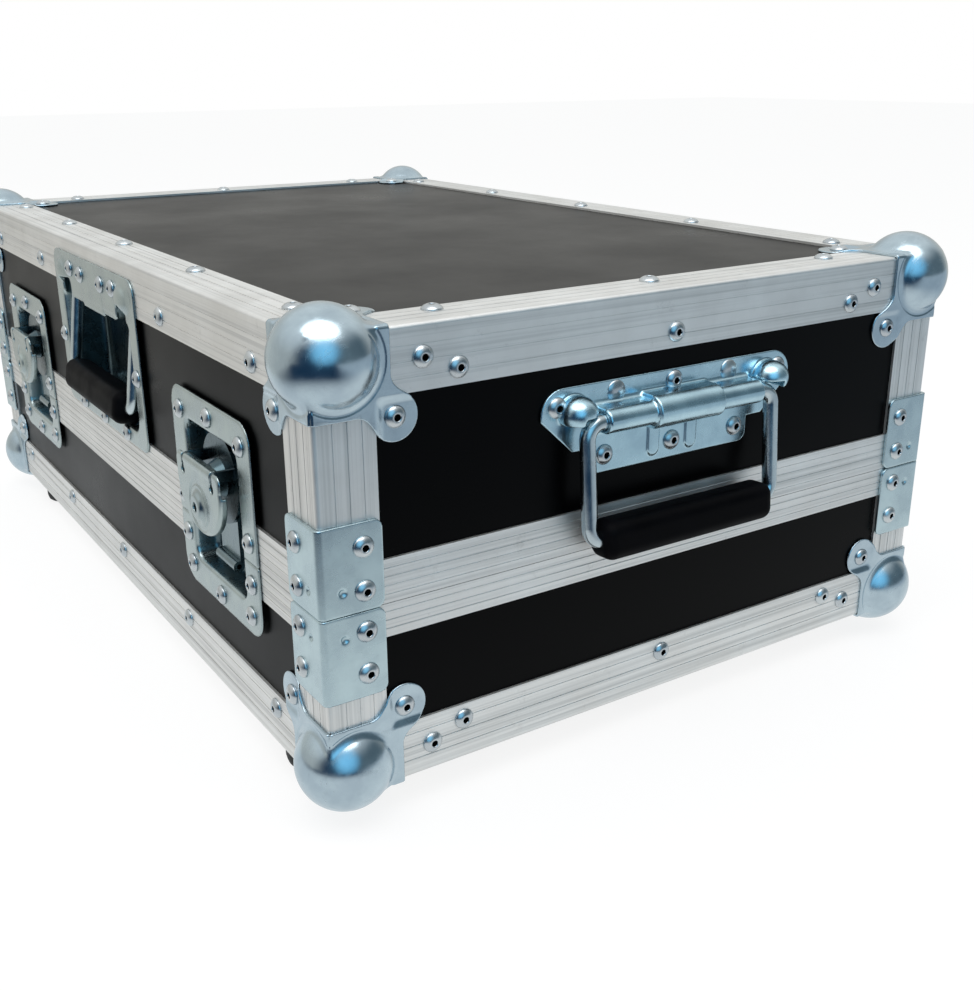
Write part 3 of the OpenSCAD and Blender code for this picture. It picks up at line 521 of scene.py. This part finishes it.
def ball_corner(x, y, z):
    """Ball with three flanges, each ending in a lobe that steps down from the profiles to the panel."""

    def drop(u, v):
        low = np.minimum(u, v) - np.maximum(3 - np.abs(u - v), 0) ** 2 / 12
        return 1.6 * smooth(28.8, 34.0, low)

    def outline(u, v):
        return join(rect(u, v, -40, -40, 37.5, 37.5, 1.0), np.hypot(u - LOBE_IN, v - LOBE_IN) - LOBE_R, 8.0)

    r = 2.2
    dx, dy, dz = -1.5 + drop(y, z) - x, -1.5 + drop(x, z) - y, -1.5 + drop(x, y) - z
    q = np.sqrt(np.maximum(dx + r, 0) ** 2 + np.maximum(dy + r, 0) ** 2 + np.maximum(dz + r, 0) ** 2)
    box = q + np.minimum(np.maximum(np.maximum(dx, dy), dz) + r, 0) - r
    far = np.sqrt((x - BALL_IN) ** 2 + (y - BALL_IN) ** 2 + (z - BALL_IN) ** 2)
    solid = join(box, far - BALL_R, 1.6)
    solid = solid + 0.35 * np.exp(-(((far - BALL_R - 2.0) / 0.7) ** 2)) * (box < 1.0)
    flanges = [np.maximum(outline(u, v), w - 6) for u, v, w in ((x, y, z), (y, z, x), (x, z, y))]
    clip = np.minimum(np.minimum(flanges[0], flanges[1]), np.minimum(flanges[2], far - BALL_R - 2))
    body = meet(np.abs(solid + SHEET / 2) - SHEET / 2, clip, 0.45)
    slit = np.maximum(np.maximum(np.abs(x - y) - 0.5, np.maximum(x, y) - 3), 31.0 - z)
    return cut(body, slit, 0.15)


me = surface("ball", ball_corner, (-12, -12, -12), (52, 52, 52), 0.62, 0.7)
for side, z0, sz in (("base", Z_LOW, 1), ("lid", Z_TOP, -1)):
    copies = []
    for sx in (1, -1):
        for sy in (1, -1):
            m = Matrix.Diagonal((sx, sy, sz, 1))
            copies.append((me, shift(-sx * CASE_W / 2, -sy * CASE_D / 2, z0) @ m))
    for i, (src, place) in enumerate(copies):
        piece(f"{side}_ball_corner_{i}", src, side, side + "_ball_corners", ZINC_BALL, place)

# ---------------------------------------------------------------- corner braces


def brace(x, y, z):
    """Angle of bent sheet round the corner's upright, with a dent in each leg."""
    r, t = 3.0, 2.0
    dx, dy = -t - x, -t - y
    solid = np.hypot(np.maximum(dx + r, 0), np.maximum(dy + r, 0))
    solid = solid + np.minimum(np.maximum(dx, dy) + r, 0) - r
    for u, v in ((x, y), (y, x)):
        dent = np.sqrt((u - 9.3) ** 2 + (v + 3.4) ** 2 + (z - 11.2) ** 2) - 2.5
        solid = meet(solid, -dent, 0.4)
    leg_x, leg_y = (rect(u, z, -40, 0, 30.3, 42.5, 4.2) for u in (x, y))
    clip = np.minimum(np.maximum(leg_x, y - 4), np.maximum(leg_y, x - 4))
    return meet(np.abs(solid + t / 2) - t / 2, clip, 0.45)


me = surface("brace", brace, (-2.2, -2.2, -0.2), (31, 31, 43), 0.55, 0.35)
for side, z0, sz in (("base", Z_SPLIT - HALF_GAP, -1), ("lid", Z_SPLIT + HALF_GAP, 1)):
    for i, (sx, sy) in enumerate(((1, 1), (1, -1), (-1, 1), (-1, -1))):
        place = shift(-sx * CASE_W / 2, -sy * CASE_D / 2, z0) @ Matrix.Diagonal((sx, sy, sz, 1))
        piece(f"{side}_corner_brace_{i}", me, side, side + "_corner_braces", ZINC, place)

# ---------------------------------------------------------------- rivets and studs


HEAD = [(0.0, -2.0), (4.6, -2.0), (4.9, -0.1), (5.15, 0.0), (5.25, 0.3), (5.15, 0.62), (4.7, 1.15),
        (4.0, 1.72), (3.2, 2.18), (2.6, 2.42), (2.0, 2.5), (1.75, 2.4), (1.6, 2.1)]
CRATER = [(1.55, 1.7), (1.5, 0.7), (1.2, 0.5), (0.6, 0.5), (0.0, 0.5)]
STUD = [(0.0, -0.7), (5.2, -0.7), (5.6, 0.0), (5.75, 0.3), (5.6, 0.75), (5.1, 1.2), (4.5, 1.45),
        (3.9, 1.5), (3.5, 1.3), (3.3, 1.35), (2.9, 1.75), (2.2, 2.2), (1.1, 2.5), (0.0, 2.6)]
STUD_MOST = 5.0  # a stud's solid is lower than this, a rivet's is longer


def rivet_mesh():
    """Blind rivet: domed head with a rolled rim, and the crater left by its mandrel, which takes a second
    material of near-black painted shade.
    """
    pts, quads = lathe(HEAD + CRATER, ROUND)
    me = raw_mesh("rivet", pts * MM, quads)
    hole = np.zeros(len(me.polygons), np.int32)
    # the crater's faces take the second material, the near-black painted shade
    hole[ROUND * (len(HEAD) - 1) :] = 1
    me.polygons.foreach_set("material_index", hole)
    return me


def stud_mesh():
    pts, quads = lathe(STUD, ROUND)
    return raw_mesh("stud", pts * MM, quads)


def loose_parts(ob):
    """Boxes of a mesh's separate solids, in millimetres."""
    me = ob.data
    co = np.zeros(len(me.vertices) * 3)
    me.vertices.foreach_get("co", co)
    co = co.reshape(-1, 3) / MM
    _, same = np.unique(np.round(co, 3), axis=0, return_inverse=True)
    same = same.ravel()
    ed = np.zeros(len(me.edges) * 2, int)
    me.edges.foreach_get("vertices", ed)
    ed = same[ed.reshape(-1, 2)]
    lab = np.arange(same.max() + 1)
    while True:
        low = np.minimum(lab[ed[:, 0]], lab[ed[:, 1]])
        new = lab.copy()
        np.minimum.at(new, ed[:, 0], low)
        np.minimum.at(new, ed[:, 1], low)
        new = new[new]
        if (new == lab).all():
            break
        lab = new
    lab = lab[same]
    return [(co[lab == k].min(0), co[lab == k].max(0), co[lab == k]) for k in np.unique(lab)]


RIVET_ME, STUD_ME = rivet_mesh(), stud_mesh()
for side in ("base", "lid"):
    heads = []
    for k, (lo, hi, co) in enumerate(loose_parts(NODE[side + "_rivets"])):
        size = hi - lo
        a = int(np.argmin(size))
        mid = (lo + hi) / 2
        o = [i for i in range(3) if i != a]
        rad = np.hypot(co[:, o[0]] - mid[o[0]], co[:, o[1]] - mid[o[1]])
        rim = co[rad > rad.max() - 0.05, a]
        out = 1 if abs(rim.mean() - hi[a]) < abs(rim.mean() - lo[a]) else -1
        stud = size[a] < STUD_MOST
        if not stud:
            out = 1 if hi[a] - rim.min() < rim.max() - lo[a] else -1
        at = Vector(mid)
        at[a] = (rim.min() if out > 0 else rim.max())
        d = Vector((0, 0, 0))
        d[a] = out
        turn = d.to_track_quat("Z", "Y").to_matrix().to_4x4() @ rot_z((k * 67) % 360)
        heads.append((STUD_ME if stud else RIVET_ME, shift(*at) @ turn))
    piece(side + "_rivet_heads", merged(side + "_heads", heads), side, side + "_rivets", [RIVET, RIVET_CRATER_SHADE])
    print(side, len(heads), "rivets")

# ---------------------------------------------------------------- latches

LATCH_T, DISH_D = 1.5, 12.0
SHAFT_Z, HUB_Z, PIN_Y, PIN_Z = 31.0, 18.0, -6.5, 38.5
ROD_BORE = 4.05
BEHIND = (-0.5, DISH_D + 1.2)  # how deep the outside of a latch's dish goes


def pocket(u, w, y, x0, z0, x1, z1, deep, corner, floor_r):
    """Pressed pocket with drafted walls and a rounded floor, open towards -y."""
    return meet(rect(u, w, x0, z0, x1, z1, corner) + 0.1 * np.maximum(y, 0), y - deep, floor_r)


def latch_upper(u, y, w):
    """The lid's half of a latch: frame, dish and shaft hole, cut off at the joint line."""
    plate = meet(rect(u, w, -53, -40, 53, 72, 12), between(y, -LATCH_T, 0), 0.4)
    plate = join(plate, meet(rect(u, w, -36.2, -40, 36.2, 56.7, 8), between(y, *BEHIND), 1.5), 0.6)
    air = join(y + LATCH_T, pocket(u, w, y, -35, -60, 35, 55.5, DISH_D, 7, 3.5), 2.2)
    body = cut(plate, air, 0.3)
    body = cut(body, np.hypot(u, w - SHAFT_Z) - ROD_BORE, 0.1)
    return meet(body, HALF_GAP - w, 0.3)


def latch_lower(u, y, w):
    """The base's half, the keeper: frame, dish and the lip that the hook draws against."""
    plate = meet(rect(u, w, -53, -40, 53, 60, 12), between(y, -LATCH_T, 0), 0.4)
    plate = join(plate, meet(rect(u, w, -36.2, -25.2, 36.2, 60, 8), between(y, *BEHIND), 1.5), 0.6)
    air = join(y + LATCH_T, pocket(u, w, y, -35, -24, 35, 60, DISH_D, 7, 3.5), 2.2)
    body = cut(plate, air, 0.3)
    lip = meet(meet(np.abs(u) - 15, between(w, -10.5, -8), 0.5), between(y, 7.8, 12.6), 0.5)
    return meet(np.minimum(body, lip), w + HALF_GAP, 0.3)


def wing(u, y, w):
    """Butterfly wing: pressed plate with a boss and a ring groove round the hub, and a pin barrel on top."""
    outline = meet(np.hypot(u / 30.0, (w - 29) / 26.0) * 27.5 - 27.5, w - 41.5, 4.0)
    outline = np.minimum(outline, rect(u, w, -30, 29, 30, 41.5, 5))
    solid = meet(outline, -9.5 - y, 2.0)
    hub = np.hypot(u, w - HUB_Z)
    boss = meet(hub - 8.5 + 0.9 * np.maximum(-9.5 - y, 0), -12.0 - y, 0.8)
    solid = join(solid, boss, 1.2)
    groove = np.abs(hub - 12.5) - 1.2
    solid = cut(solid, meet(groove, y + 9.0, 0.4), 0.4)
    shell = meet(np.abs(solid + 0.75) - 0.75, y + 5.2, 0.4)
    shell = cut(shell, meet(-y - 7.9, 30 - w, 0.1), 0.1)
    for s in (-1, 1):
        shell = cut(shell, np.hypot(u - 20 * s, w - 33) - 2.6, 0.3)
    shell = cut(shell, hub - 2.6, 0.3)
    pin = np.hypot(y - PIN_Y, w - PIN_Z)
    barrel = meet(pin - 3.0, np.abs(u) - 18.7, 0.4)
    both = join(shell, barrel, 0.8)
    notch = np.maximum(np.abs(np.abs(u) - 20) - 1.3, np.abs(w - PIN_Z) - 3.3)
    both = cut(both, notch, 0.2)
    return cut(both, pin - 1.55, 0.05)


upper = surface("latch_upper", latch_upper, (-53, -1.6, 0), (53, 13.4, 72), 0.8, 0.4)
lower = surface("latch_lower", latch_lower, (-53, -1.6, -40), (53, 13.4, 0), 0.8, 0.4)
flap = surface("latch_wing", wing, (-30.5, -12.2, 2.6), (30.5, -3.2, 42), 0.5, 0.5)
for name, place in LATCHES.items():
    piece("latch_dish_" + name, upper, "lid", "latch_dishes", ZINC_DISH, place)
    piece("keeper_plate_" + name, lower, "base", "keeper_plates", ZINC_DISH, place)
    piece("wing_" + name, flap, "wing_" + name, "latch_wing_" + name, ZINC_DISH, place)

# ---------------------------------------------------------------- end handles

AXIS_Z, AXIS_Y = 68.0, -8.0
TUBE_R, WIDE_R = 6.3, 8.5  # outside of the bridge over the rod, and over the spring
TUBE_HALF, WIDE_HALF, BORE_HALF = 51, 21.5, 60
GRIP_BELOW = 59  # the grip's middle below the rod's axis
END_LEAN, REC_LEAN = -4.4, -8.5  # degrees, from the bail's own slant at rest


def arc(cx, cy, r, a, b, n):
    """Points of an arc from a to b degrees in n steps."""
    way = [math.radians(a + (b - a) * i / n) for i in range(n + 1)]
    return [(cx + r * math.cos(t), cy + r * math.sin(t)) for t in way]


def end_outline():
    r = 13.0
    right = arc(82 - r, 85.5 - r, r, 90, -10, 10) + [(63, 52.5), (52.5, 52.5)]
    right += arc(47.5, 44, 5, 0, -90, 5)
    return right + [(-x, z) for x, z in reversed(right)]


END_PTS = end_outline()


def end_plate(u, y, w):
    """Surface handle's plate with the bridge over the rod and two hoods over the rod's bends."""
    flat = -y + 0.1
    ra = np.hypot(y - AXIS_Y, w - AXIS_Z)
    a = np.abs(u)

    def bridge(half, r):
        tube = np.minimum(ra - r, np.maximum(np.abs(w - AXIS_Z) - r, -(y - AXIS_Y)))
        return meet(tube, a - half, 1.2)

    d = join(flat, bridge(TUBE_HALF, TUBE_R), 3.0)
    d = join(d, bridge(WIDE_HALF, WIDE_R), 1.4)
    rib = meet(np.hypot(a - 12.5, np.minimum(w - 46, 0)) - 3.7, -0.95 - y, 0.8)
    d = join(d, meet(rib, w - 64, 0.5), 0.7)
    hood = np.sqrt(((a - 63.5) / 9.8) ** 2 + ((y + 4.4) / 9.8) ** 2 + ((w - 73) / 8.8) ** 2)
    hood = (hood - 1) * 9.2
    room = np.minimum(meet(w - 72.4, a - 65.5, 1.5), w - 68.5)
    d = join(d, cut(hood, room, 0.7), 1.6)
    d = meet(d, y - SKIN, 0.2)
    keep = np.minimum(polygon(u, w, END_PTS), np.where(y < -0.2, hood, 99.0))
    d = meet(d, keep, 0.5)
    return cut(d, np.maximum(ra - ROD_BORE, a - BORE_HALF), 0.2)


def grip(u, y, w):
    """Grip block around x, centred on the rod."""
    d = rect(y, w, -9.5, -10, 9.5, 10, 6.5)
    d = meet(d, np.abs(u) - 56, 6.0)
    seam = np.abs(y - 9.5) - 0.25
    return cut(d, np.maximum(seam, np.abs(w) - 0.25), 0.1)


def hung_grip(place, axis_y, axis_z, lean):
    """Place of a grip that hangs from a rod's axis, leaning by so many degrees."""
    turn = Matrix.Rotation(math.radians(lean), 4, "X")
    return place @ shift(0, axis_y, axis_z) @ turn @ shift(0, 0, -GRIP_BELOW)


plate = surface("end_plate", end_plate, (-83, -17.2, 38.5), (83, 1.8, 86), 0.62, 0.45)
block = surface("grip", grip, (-56.5, -10, -10.5), (56.5, 10, 10.5), 0.8, 0.35)
for side, on in (("right", ON_RIGHT), ("left", ON_LEFT)):
    place = on @ shift(0, 0, Z_SPLIT)
    piece("end_handle_face_" + side, plate, "lid", "end_handle_plate_" + side, ZINC_END, place)
    lean = hung_grip(place, AXIS_Y, AXIS_Z, END_LEAN)
    piece("end_handle_grip_" + side, block, "end_bail_" + side, "end_grip_" + side, GRIP, lean,
          "black_rubber")

# ---------------------------------------------------------------- recessed handle

REC_Y, REC_Z = 7.2, 95.5


def recess(u, y, w):
    """Recessed handle's dish, with the bridge over its rod and two hoods pressed out of its frame."""
    a = np.abs(u)
    arch = 89.5 + 1.8 * (1 - (u / 69.0) ** 2)
    body = meet(rect(u, w, -83, 15, 83, 117, 9), between(y, -1.5, 0), 0.4)
    body = join(body, meet(rect(u, w, -70.2, 24.3, 70.2, 105.5, 6), between(y, -0.5, 25.2), 2.0), 0.6)
    opening = meet(rect(u, w, -69, 25.5, 69, 160, 9) + 0.12 * np.maximum(y, 0), w - arch, 3.0)
    opening = meet(opening, y - 24, 5)
    inner = meet(rect(u, w, -69, 25.5, 69, 104.3, 6) + 0.12 * np.maximum(y, 0), between(y, 0, 24), 4)
    bump = np.sqrt(((a - 63) / 11.5) ** 2 + ((y + 0.5) / 4.6) ** 2 + ((w - 104) / 8.0) ** 2)
    bump = (bump - 1) * 4.4
    body = join(body, meet(bump, y, 0.2), 1.4)
    open_front = np.maximum(join(y + 1.5, opening, 2.4), -np.maximum(y + 1.4, 93 - w))
    body = cut(body, np.minimum(open_front, inner), 0.3)
    ra = np.hypot(y - REC_Y, w - REC_Z)
    tube, wide = (
        np.minimum(ra - r, np.maximum(np.abs(w - REC_Z) - r, between(y, -1, REC_Y)))
        for r in (TUBE_R, WIDE_R)
    )
    bridge = join(meet(tube, a - 46, 1.0), meet(wide, a - WIDE_HALF, 1.0), 1.2)
    body = join(body, bridge, 0.8)
    body = cut(body, np.maximum(rect(a, w, 47, 82, 66.5, 100.6, 5), between(y, -6, 3)), 0.4)
    return cut(body, np.maximum(ra - ROD_BORE, a - BORE_HALF), 0.2)


face = surface("recess", recess, (-84, -6, 14.5), (84, 25.6, 117.5), 0.85, 0.4)
place = ON_FRONT @ shift(0, 0, Z_SPLIT)
piece("recessed_handle_face", face, "lid", "recessed_handle_dish", ZINC_DISH, place)
lean = hung_grip(place, REC_Y, REC_Z, REC_LEAN)
piece("recessed_handle_grip", block, "recessed_bail", "recessed_grip", GRIP, lean, "black_rubber")

# ---------------------------------------------------------------- feet

FOOT = [(2.7, 11.0), (7.0, 11.0), (7.0, 0.6), (7.6, 0.0), (14.6, 0.0), (16.2, 0.35), (17.3, 1.2),
        (17.8, 2.6), (18.1, 4.0), (18.2, 4.4), (18.25, 9.0), (18.6, 15.6), (19.0, 17.2), (19.0, 18.0),
        (2.7, 18.0), (2.7, 11.0)]
FOOT_BACK = 25  # in from the front or rear face
FOOT_CLEAR = 31.0  # from the middle of the ball corner's lobe
FOOT_IN = LOBE_IN + math.sqrt(FOOT_CLEAR**2 - (LOBE_IN - FOOT_BACK) ** 2)
pts, quads = lathe(FOOT, 64)
foot = raw_mesh("foot", pts * MM, quads[:, ::-1])
spots = [(sx * (CASE_W / 2 - FOOT_IN), sy * (CASE_D / 2 - FOOT_BACK)) for sx in (-1, 1) for sy in (-1, 1)]
feet = merged("feet", [(foot, shift(x, y, 0)) for x, y in spots])
piece("rubber_feet", feet, "base", "feet", FOOT_RUBBER, None, "black_rubber")

# ---------------------------------------------------------------- foam


PAD_STEP, PAD_WAVE = (0.004 if FINE else 0.008), 0.032
PAD_LOW, PAD_RISE, PAD_EDGE = 0.0055, 0.0062, 0.01


def egg_crate(node, up):
    """Convoluted foam pad inside the CAD pad's box, its peaks facing the load."""
    lo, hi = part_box(node)
    wide, deep = hi.x - lo.x, hi.y - lo.y
    nx, ny = int(wide / PAD_STEP), int(deep / PAD_STEP)
    xs, ys = np.linspace(lo.x, hi.x, nx + 1), np.linspace(lo.y, hi.y, ny + 1)
    gx, gy = np.meshgrid(xs, ys, indexing="ij")
    wave = 0.5 + 0.25 * (np.cos(2 * np.pi * gx / PAD_WAVE) + np.cos(2 * np.pi * gy / PAD_WAVE))
    edge = np.minimum(np.minimum(gx - lo.x, hi.x - gx), np.minimum(gy - lo.y, hi.y - gy))
    h = PAD_LOW + PAD_RISE * wave * np.clip(edge / PAD_EDGE, 0, 1) ** 0.5
    top = lo.z + h if up else hi.z - h
    flat = np.full_like(top, lo.z if up else hi.z)
    pts = np.concatenate([np.stack([gx, gy, gz], -1).reshape(-1, 3) for gz in (top, flat)])
    n = (nx + 1) * (ny + 1)
    i, j = np.meshgrid(np.arange(nx), np.arange(ny), indexing="ij")
    a = (i * (ny + 1) + j).ravel()
    q = np.stack([a, a + ny + 1, a + ny + 2, a + 1], 1)
    r = list(range(ny + 1)) + [k * (ny + 1) + ny for k in range(1, nx + 1)]
    r += [nx * (ny + 1) + k for k in range(ny - 1, -1, -1)]
    r = np.array(r + [k * (ny + 1) for k in range(nx - 1, 0, -1)])
    s = np.roll(r, -1)
    walls = np.stack([r, s, s + n, r + n], 1)
    faces = np.concatenate([q, q[:, ::-1] + n, walls])
    if not up:
        faces = faces[:, ::-1]
    me = raw_mesh(node + "_pad", pts, faces)
    me.shade_smooth()
    return me


for node, up, body in (("base_foam", True, "base"), ("lid_foam", False, "lid")):
    ob = piece(node + "_pad", egg_crate(node, up), body, node, FOAM, None, "foam")

# ---------------------------------------------------------------- studio


def cleared(owner):
    """Empty node tree of the floor or the world."""
    owner.use_nodes = True
    owner.node_tree.nodes.clear()
    return Graph(owner.node_tree)


NEAR = (0.80, 0.83, 0.84)
DARK = (0.015, 0.045, 0.09)
BLUE = (0.47, 0.54, 0.60)
SHADE = (0.13, 0.18, 0.21)
GREY = (0.62, 0.62, 0.59)
WINDOW = (0.34, 0.86, 1.25)
WINDOW_WAY, WINDOW_FROM, WINDOW_TO = (0.84, -0.31, 0.45), 0.8, 1.02
SKY = (0.84, 0.86, 0.86)
FOOTPRINT_X, FOOTPRINT_Y = 0.31, 0.2  # half sizes of the case, in metres
FLOOR_WHITE, FLOOR_LIT = 1.09, 0.76  # strength of the white, and its share against the shaded floor


def surroundings(g, x, y, to_the_right):
    """Colour of the room by direction: grey left, dark towards the viewer, then what is to the right."""
    far = g.mix(g.step(y, -0.25, 0.25), DARK, to_the_right)
    return g.mix(g.step(x, -0.25, 0.4), GREY, far)


def stage_material():
    """Pale floor: white to the camera, the object's shadow kept; metal sees the room far out on it."""
    m = bpy.data.materials.new("floor")
    g = cleared(m)
    path = g.node("ShaderNodeLightPath")
    pos = g.node("ShaderNodeSeparateXYZ", g.node("ShaderNodeNewGeometry").outputs["Position"])
    dx, dy = (
        g.math("MAXIMUM", g.math("SUBTRACT", g.math("ABSOLUTE", pos.outputs[i]), half), 0.0)
        for i, half in enumerate((FOOTPRINT_X, FOOTPRINT_Y))
    )
    dist = g.math("SQRT", g.math("ADD", g.math("MULTIPLY", dx, dx), g.math("MULTIPLY", dy, dy)))
    seen = g.mix(g.step(dist, 0.1, 0.5), NEAR, surroundings(g, pos.outputs[0], pos.outputs[1], BLUE))
    white = g.node("ShaderNodeBsdfDiffuse", (0.86, 0.86, 0.86, 1)).outputs[0]
    lit = g.node("ShaderNodeEmission", (1, 1, 1, 1), FLOOR_WHITE).outputs[0]
    # painted reflection: to reflection rays the floor glows with room colours, pale near the case
    painted_room_reflection = g.node("ShaderNodeEmission", seen, 1.0).outputs[0]
    to_camera = g.math("MULTIPLY", path.outputs["Is Camera Ray"], FLOOR_LIT)
    pale = g.node("ShaderNodeMixShader", to_camera, white, lit).outputs[0]
    both = g.node("ShaderNodeMixShader", path.outputs["Is Glossy Ray"], pale, painted_room_reflection).outputs[0]
    g.node("ShaderNodeOutputMaterial", both)
    return m


corners = np.array([[-9, -9, 0], [9, -9, 0], [9, 9, 0], [-9, 9, 0]], float)
floor = bpy.data.objects.new("floor", raw_mesh("floor", corners, np.array([[0, 1, 2, 3]])))
floor.data.materials.append(stage_material())
bpy.context.scene.collection.objects.link(floor)

world = bpy.data.worlds.new("studio")
bpy.context.scene.world = world
g = cleared(world)
path = g.node("ShaderNodeLightPath")
way = g.node("ShaderNodeTexCoord").outputs["Generated"]
d = g.node("ShaderNodeSeparateXYZ", way)
room = surroundings(g, d.outputs[0], d.outputs[1], SHADE)
height = g.math("SUBTRACT", d.outputs[2], g.step(d.outputs[0], -0.1, 0.4, 0.0, 0.28))
sky = g.mix(g.step(height, 0.12, 0.7), room, SKY)
near_window = g.node("ShaderNodeVectorMath", way, WINDOW_WAY, operation="DOT_PRODUCT").outputs["Value"]
lit_window = g.math("MULTIPLY", g.step(near_window, WINDOW_FROM, WINDOW_TO), path.outputs["Is Glossy Ray"])
sky = g.mix(lit_window, sky, WINDOW)
seen = g.mix(path.outputs["Is Camera Ray"], sky, (1.0, 1.0, 1.0))
g.node("ShaderNodeOutputWorld", g.node("ShaderNodeBackground", seen, 1.0).outputs[0])


def area(name, at, to, size, power, colour=(1, 1, 1)):
    """Soft oval lamp at one point, aimed at another."""
    lamp = bpy.data.lights.new(name, "AREA")
    lamp.shape = "ELLIPSE"
    lamp.size, lamp.size_y = size
    lamp.energy = power
    lamp.color = colour
    ob = bpy.data.objects.new(name, lamp)
    ob.location = at
    ob.rotation_euler = (Vector(to) - Vector(at)).to_track_quat("-Z", "Y").to_euler()
    bpy.context.scene.collection.objects.link(ob)
    return ob


area("key", (0.83, -0.5, 2.2), (0.2, -0.15, 0.15), (2.8, 1.7), 24)
fill = area("fill", (-1.6, -1.6, 1.0), (-0.1, 0, 0.12), (1.8, 1.3), 5, (1.0, 0.98, 0.94))
fill.visible_glossy = False

# ---------------------------------------------------------------- camera

LENS, SENSOR = 42.95, 36.0
EYE = (0.7398, -0.3944, 0.3411)
TO_RIGHT = (0.54882766, 0.83591309, -0.00612492)
TO_TOP = (-0.28310645, 0.19276061, 0.93951801)
TO_BACK = (0.78653604, -0.51389946, 0.34244474)

cam = bpy.data.cameras.new("camera")
cam.sensor_width = SENSOR
cam.lens = LENS
cam.clip_start, cam.clip_end = 0.02, 50
eye = bpy.data.objects.new("camera", cam)
bpy.context.scene.collection.objects.link(eye)
eye.matrix_world = Matrix([*zip(TO_RIGHT, TO_TOP, TO_BACK, EYE), (0, 0, 0, 1)])
bpy.context.scene.camera = eye
bpy.context.scene.view_settings.view_transform = "Standard"

bpy.context.view_layer.update()
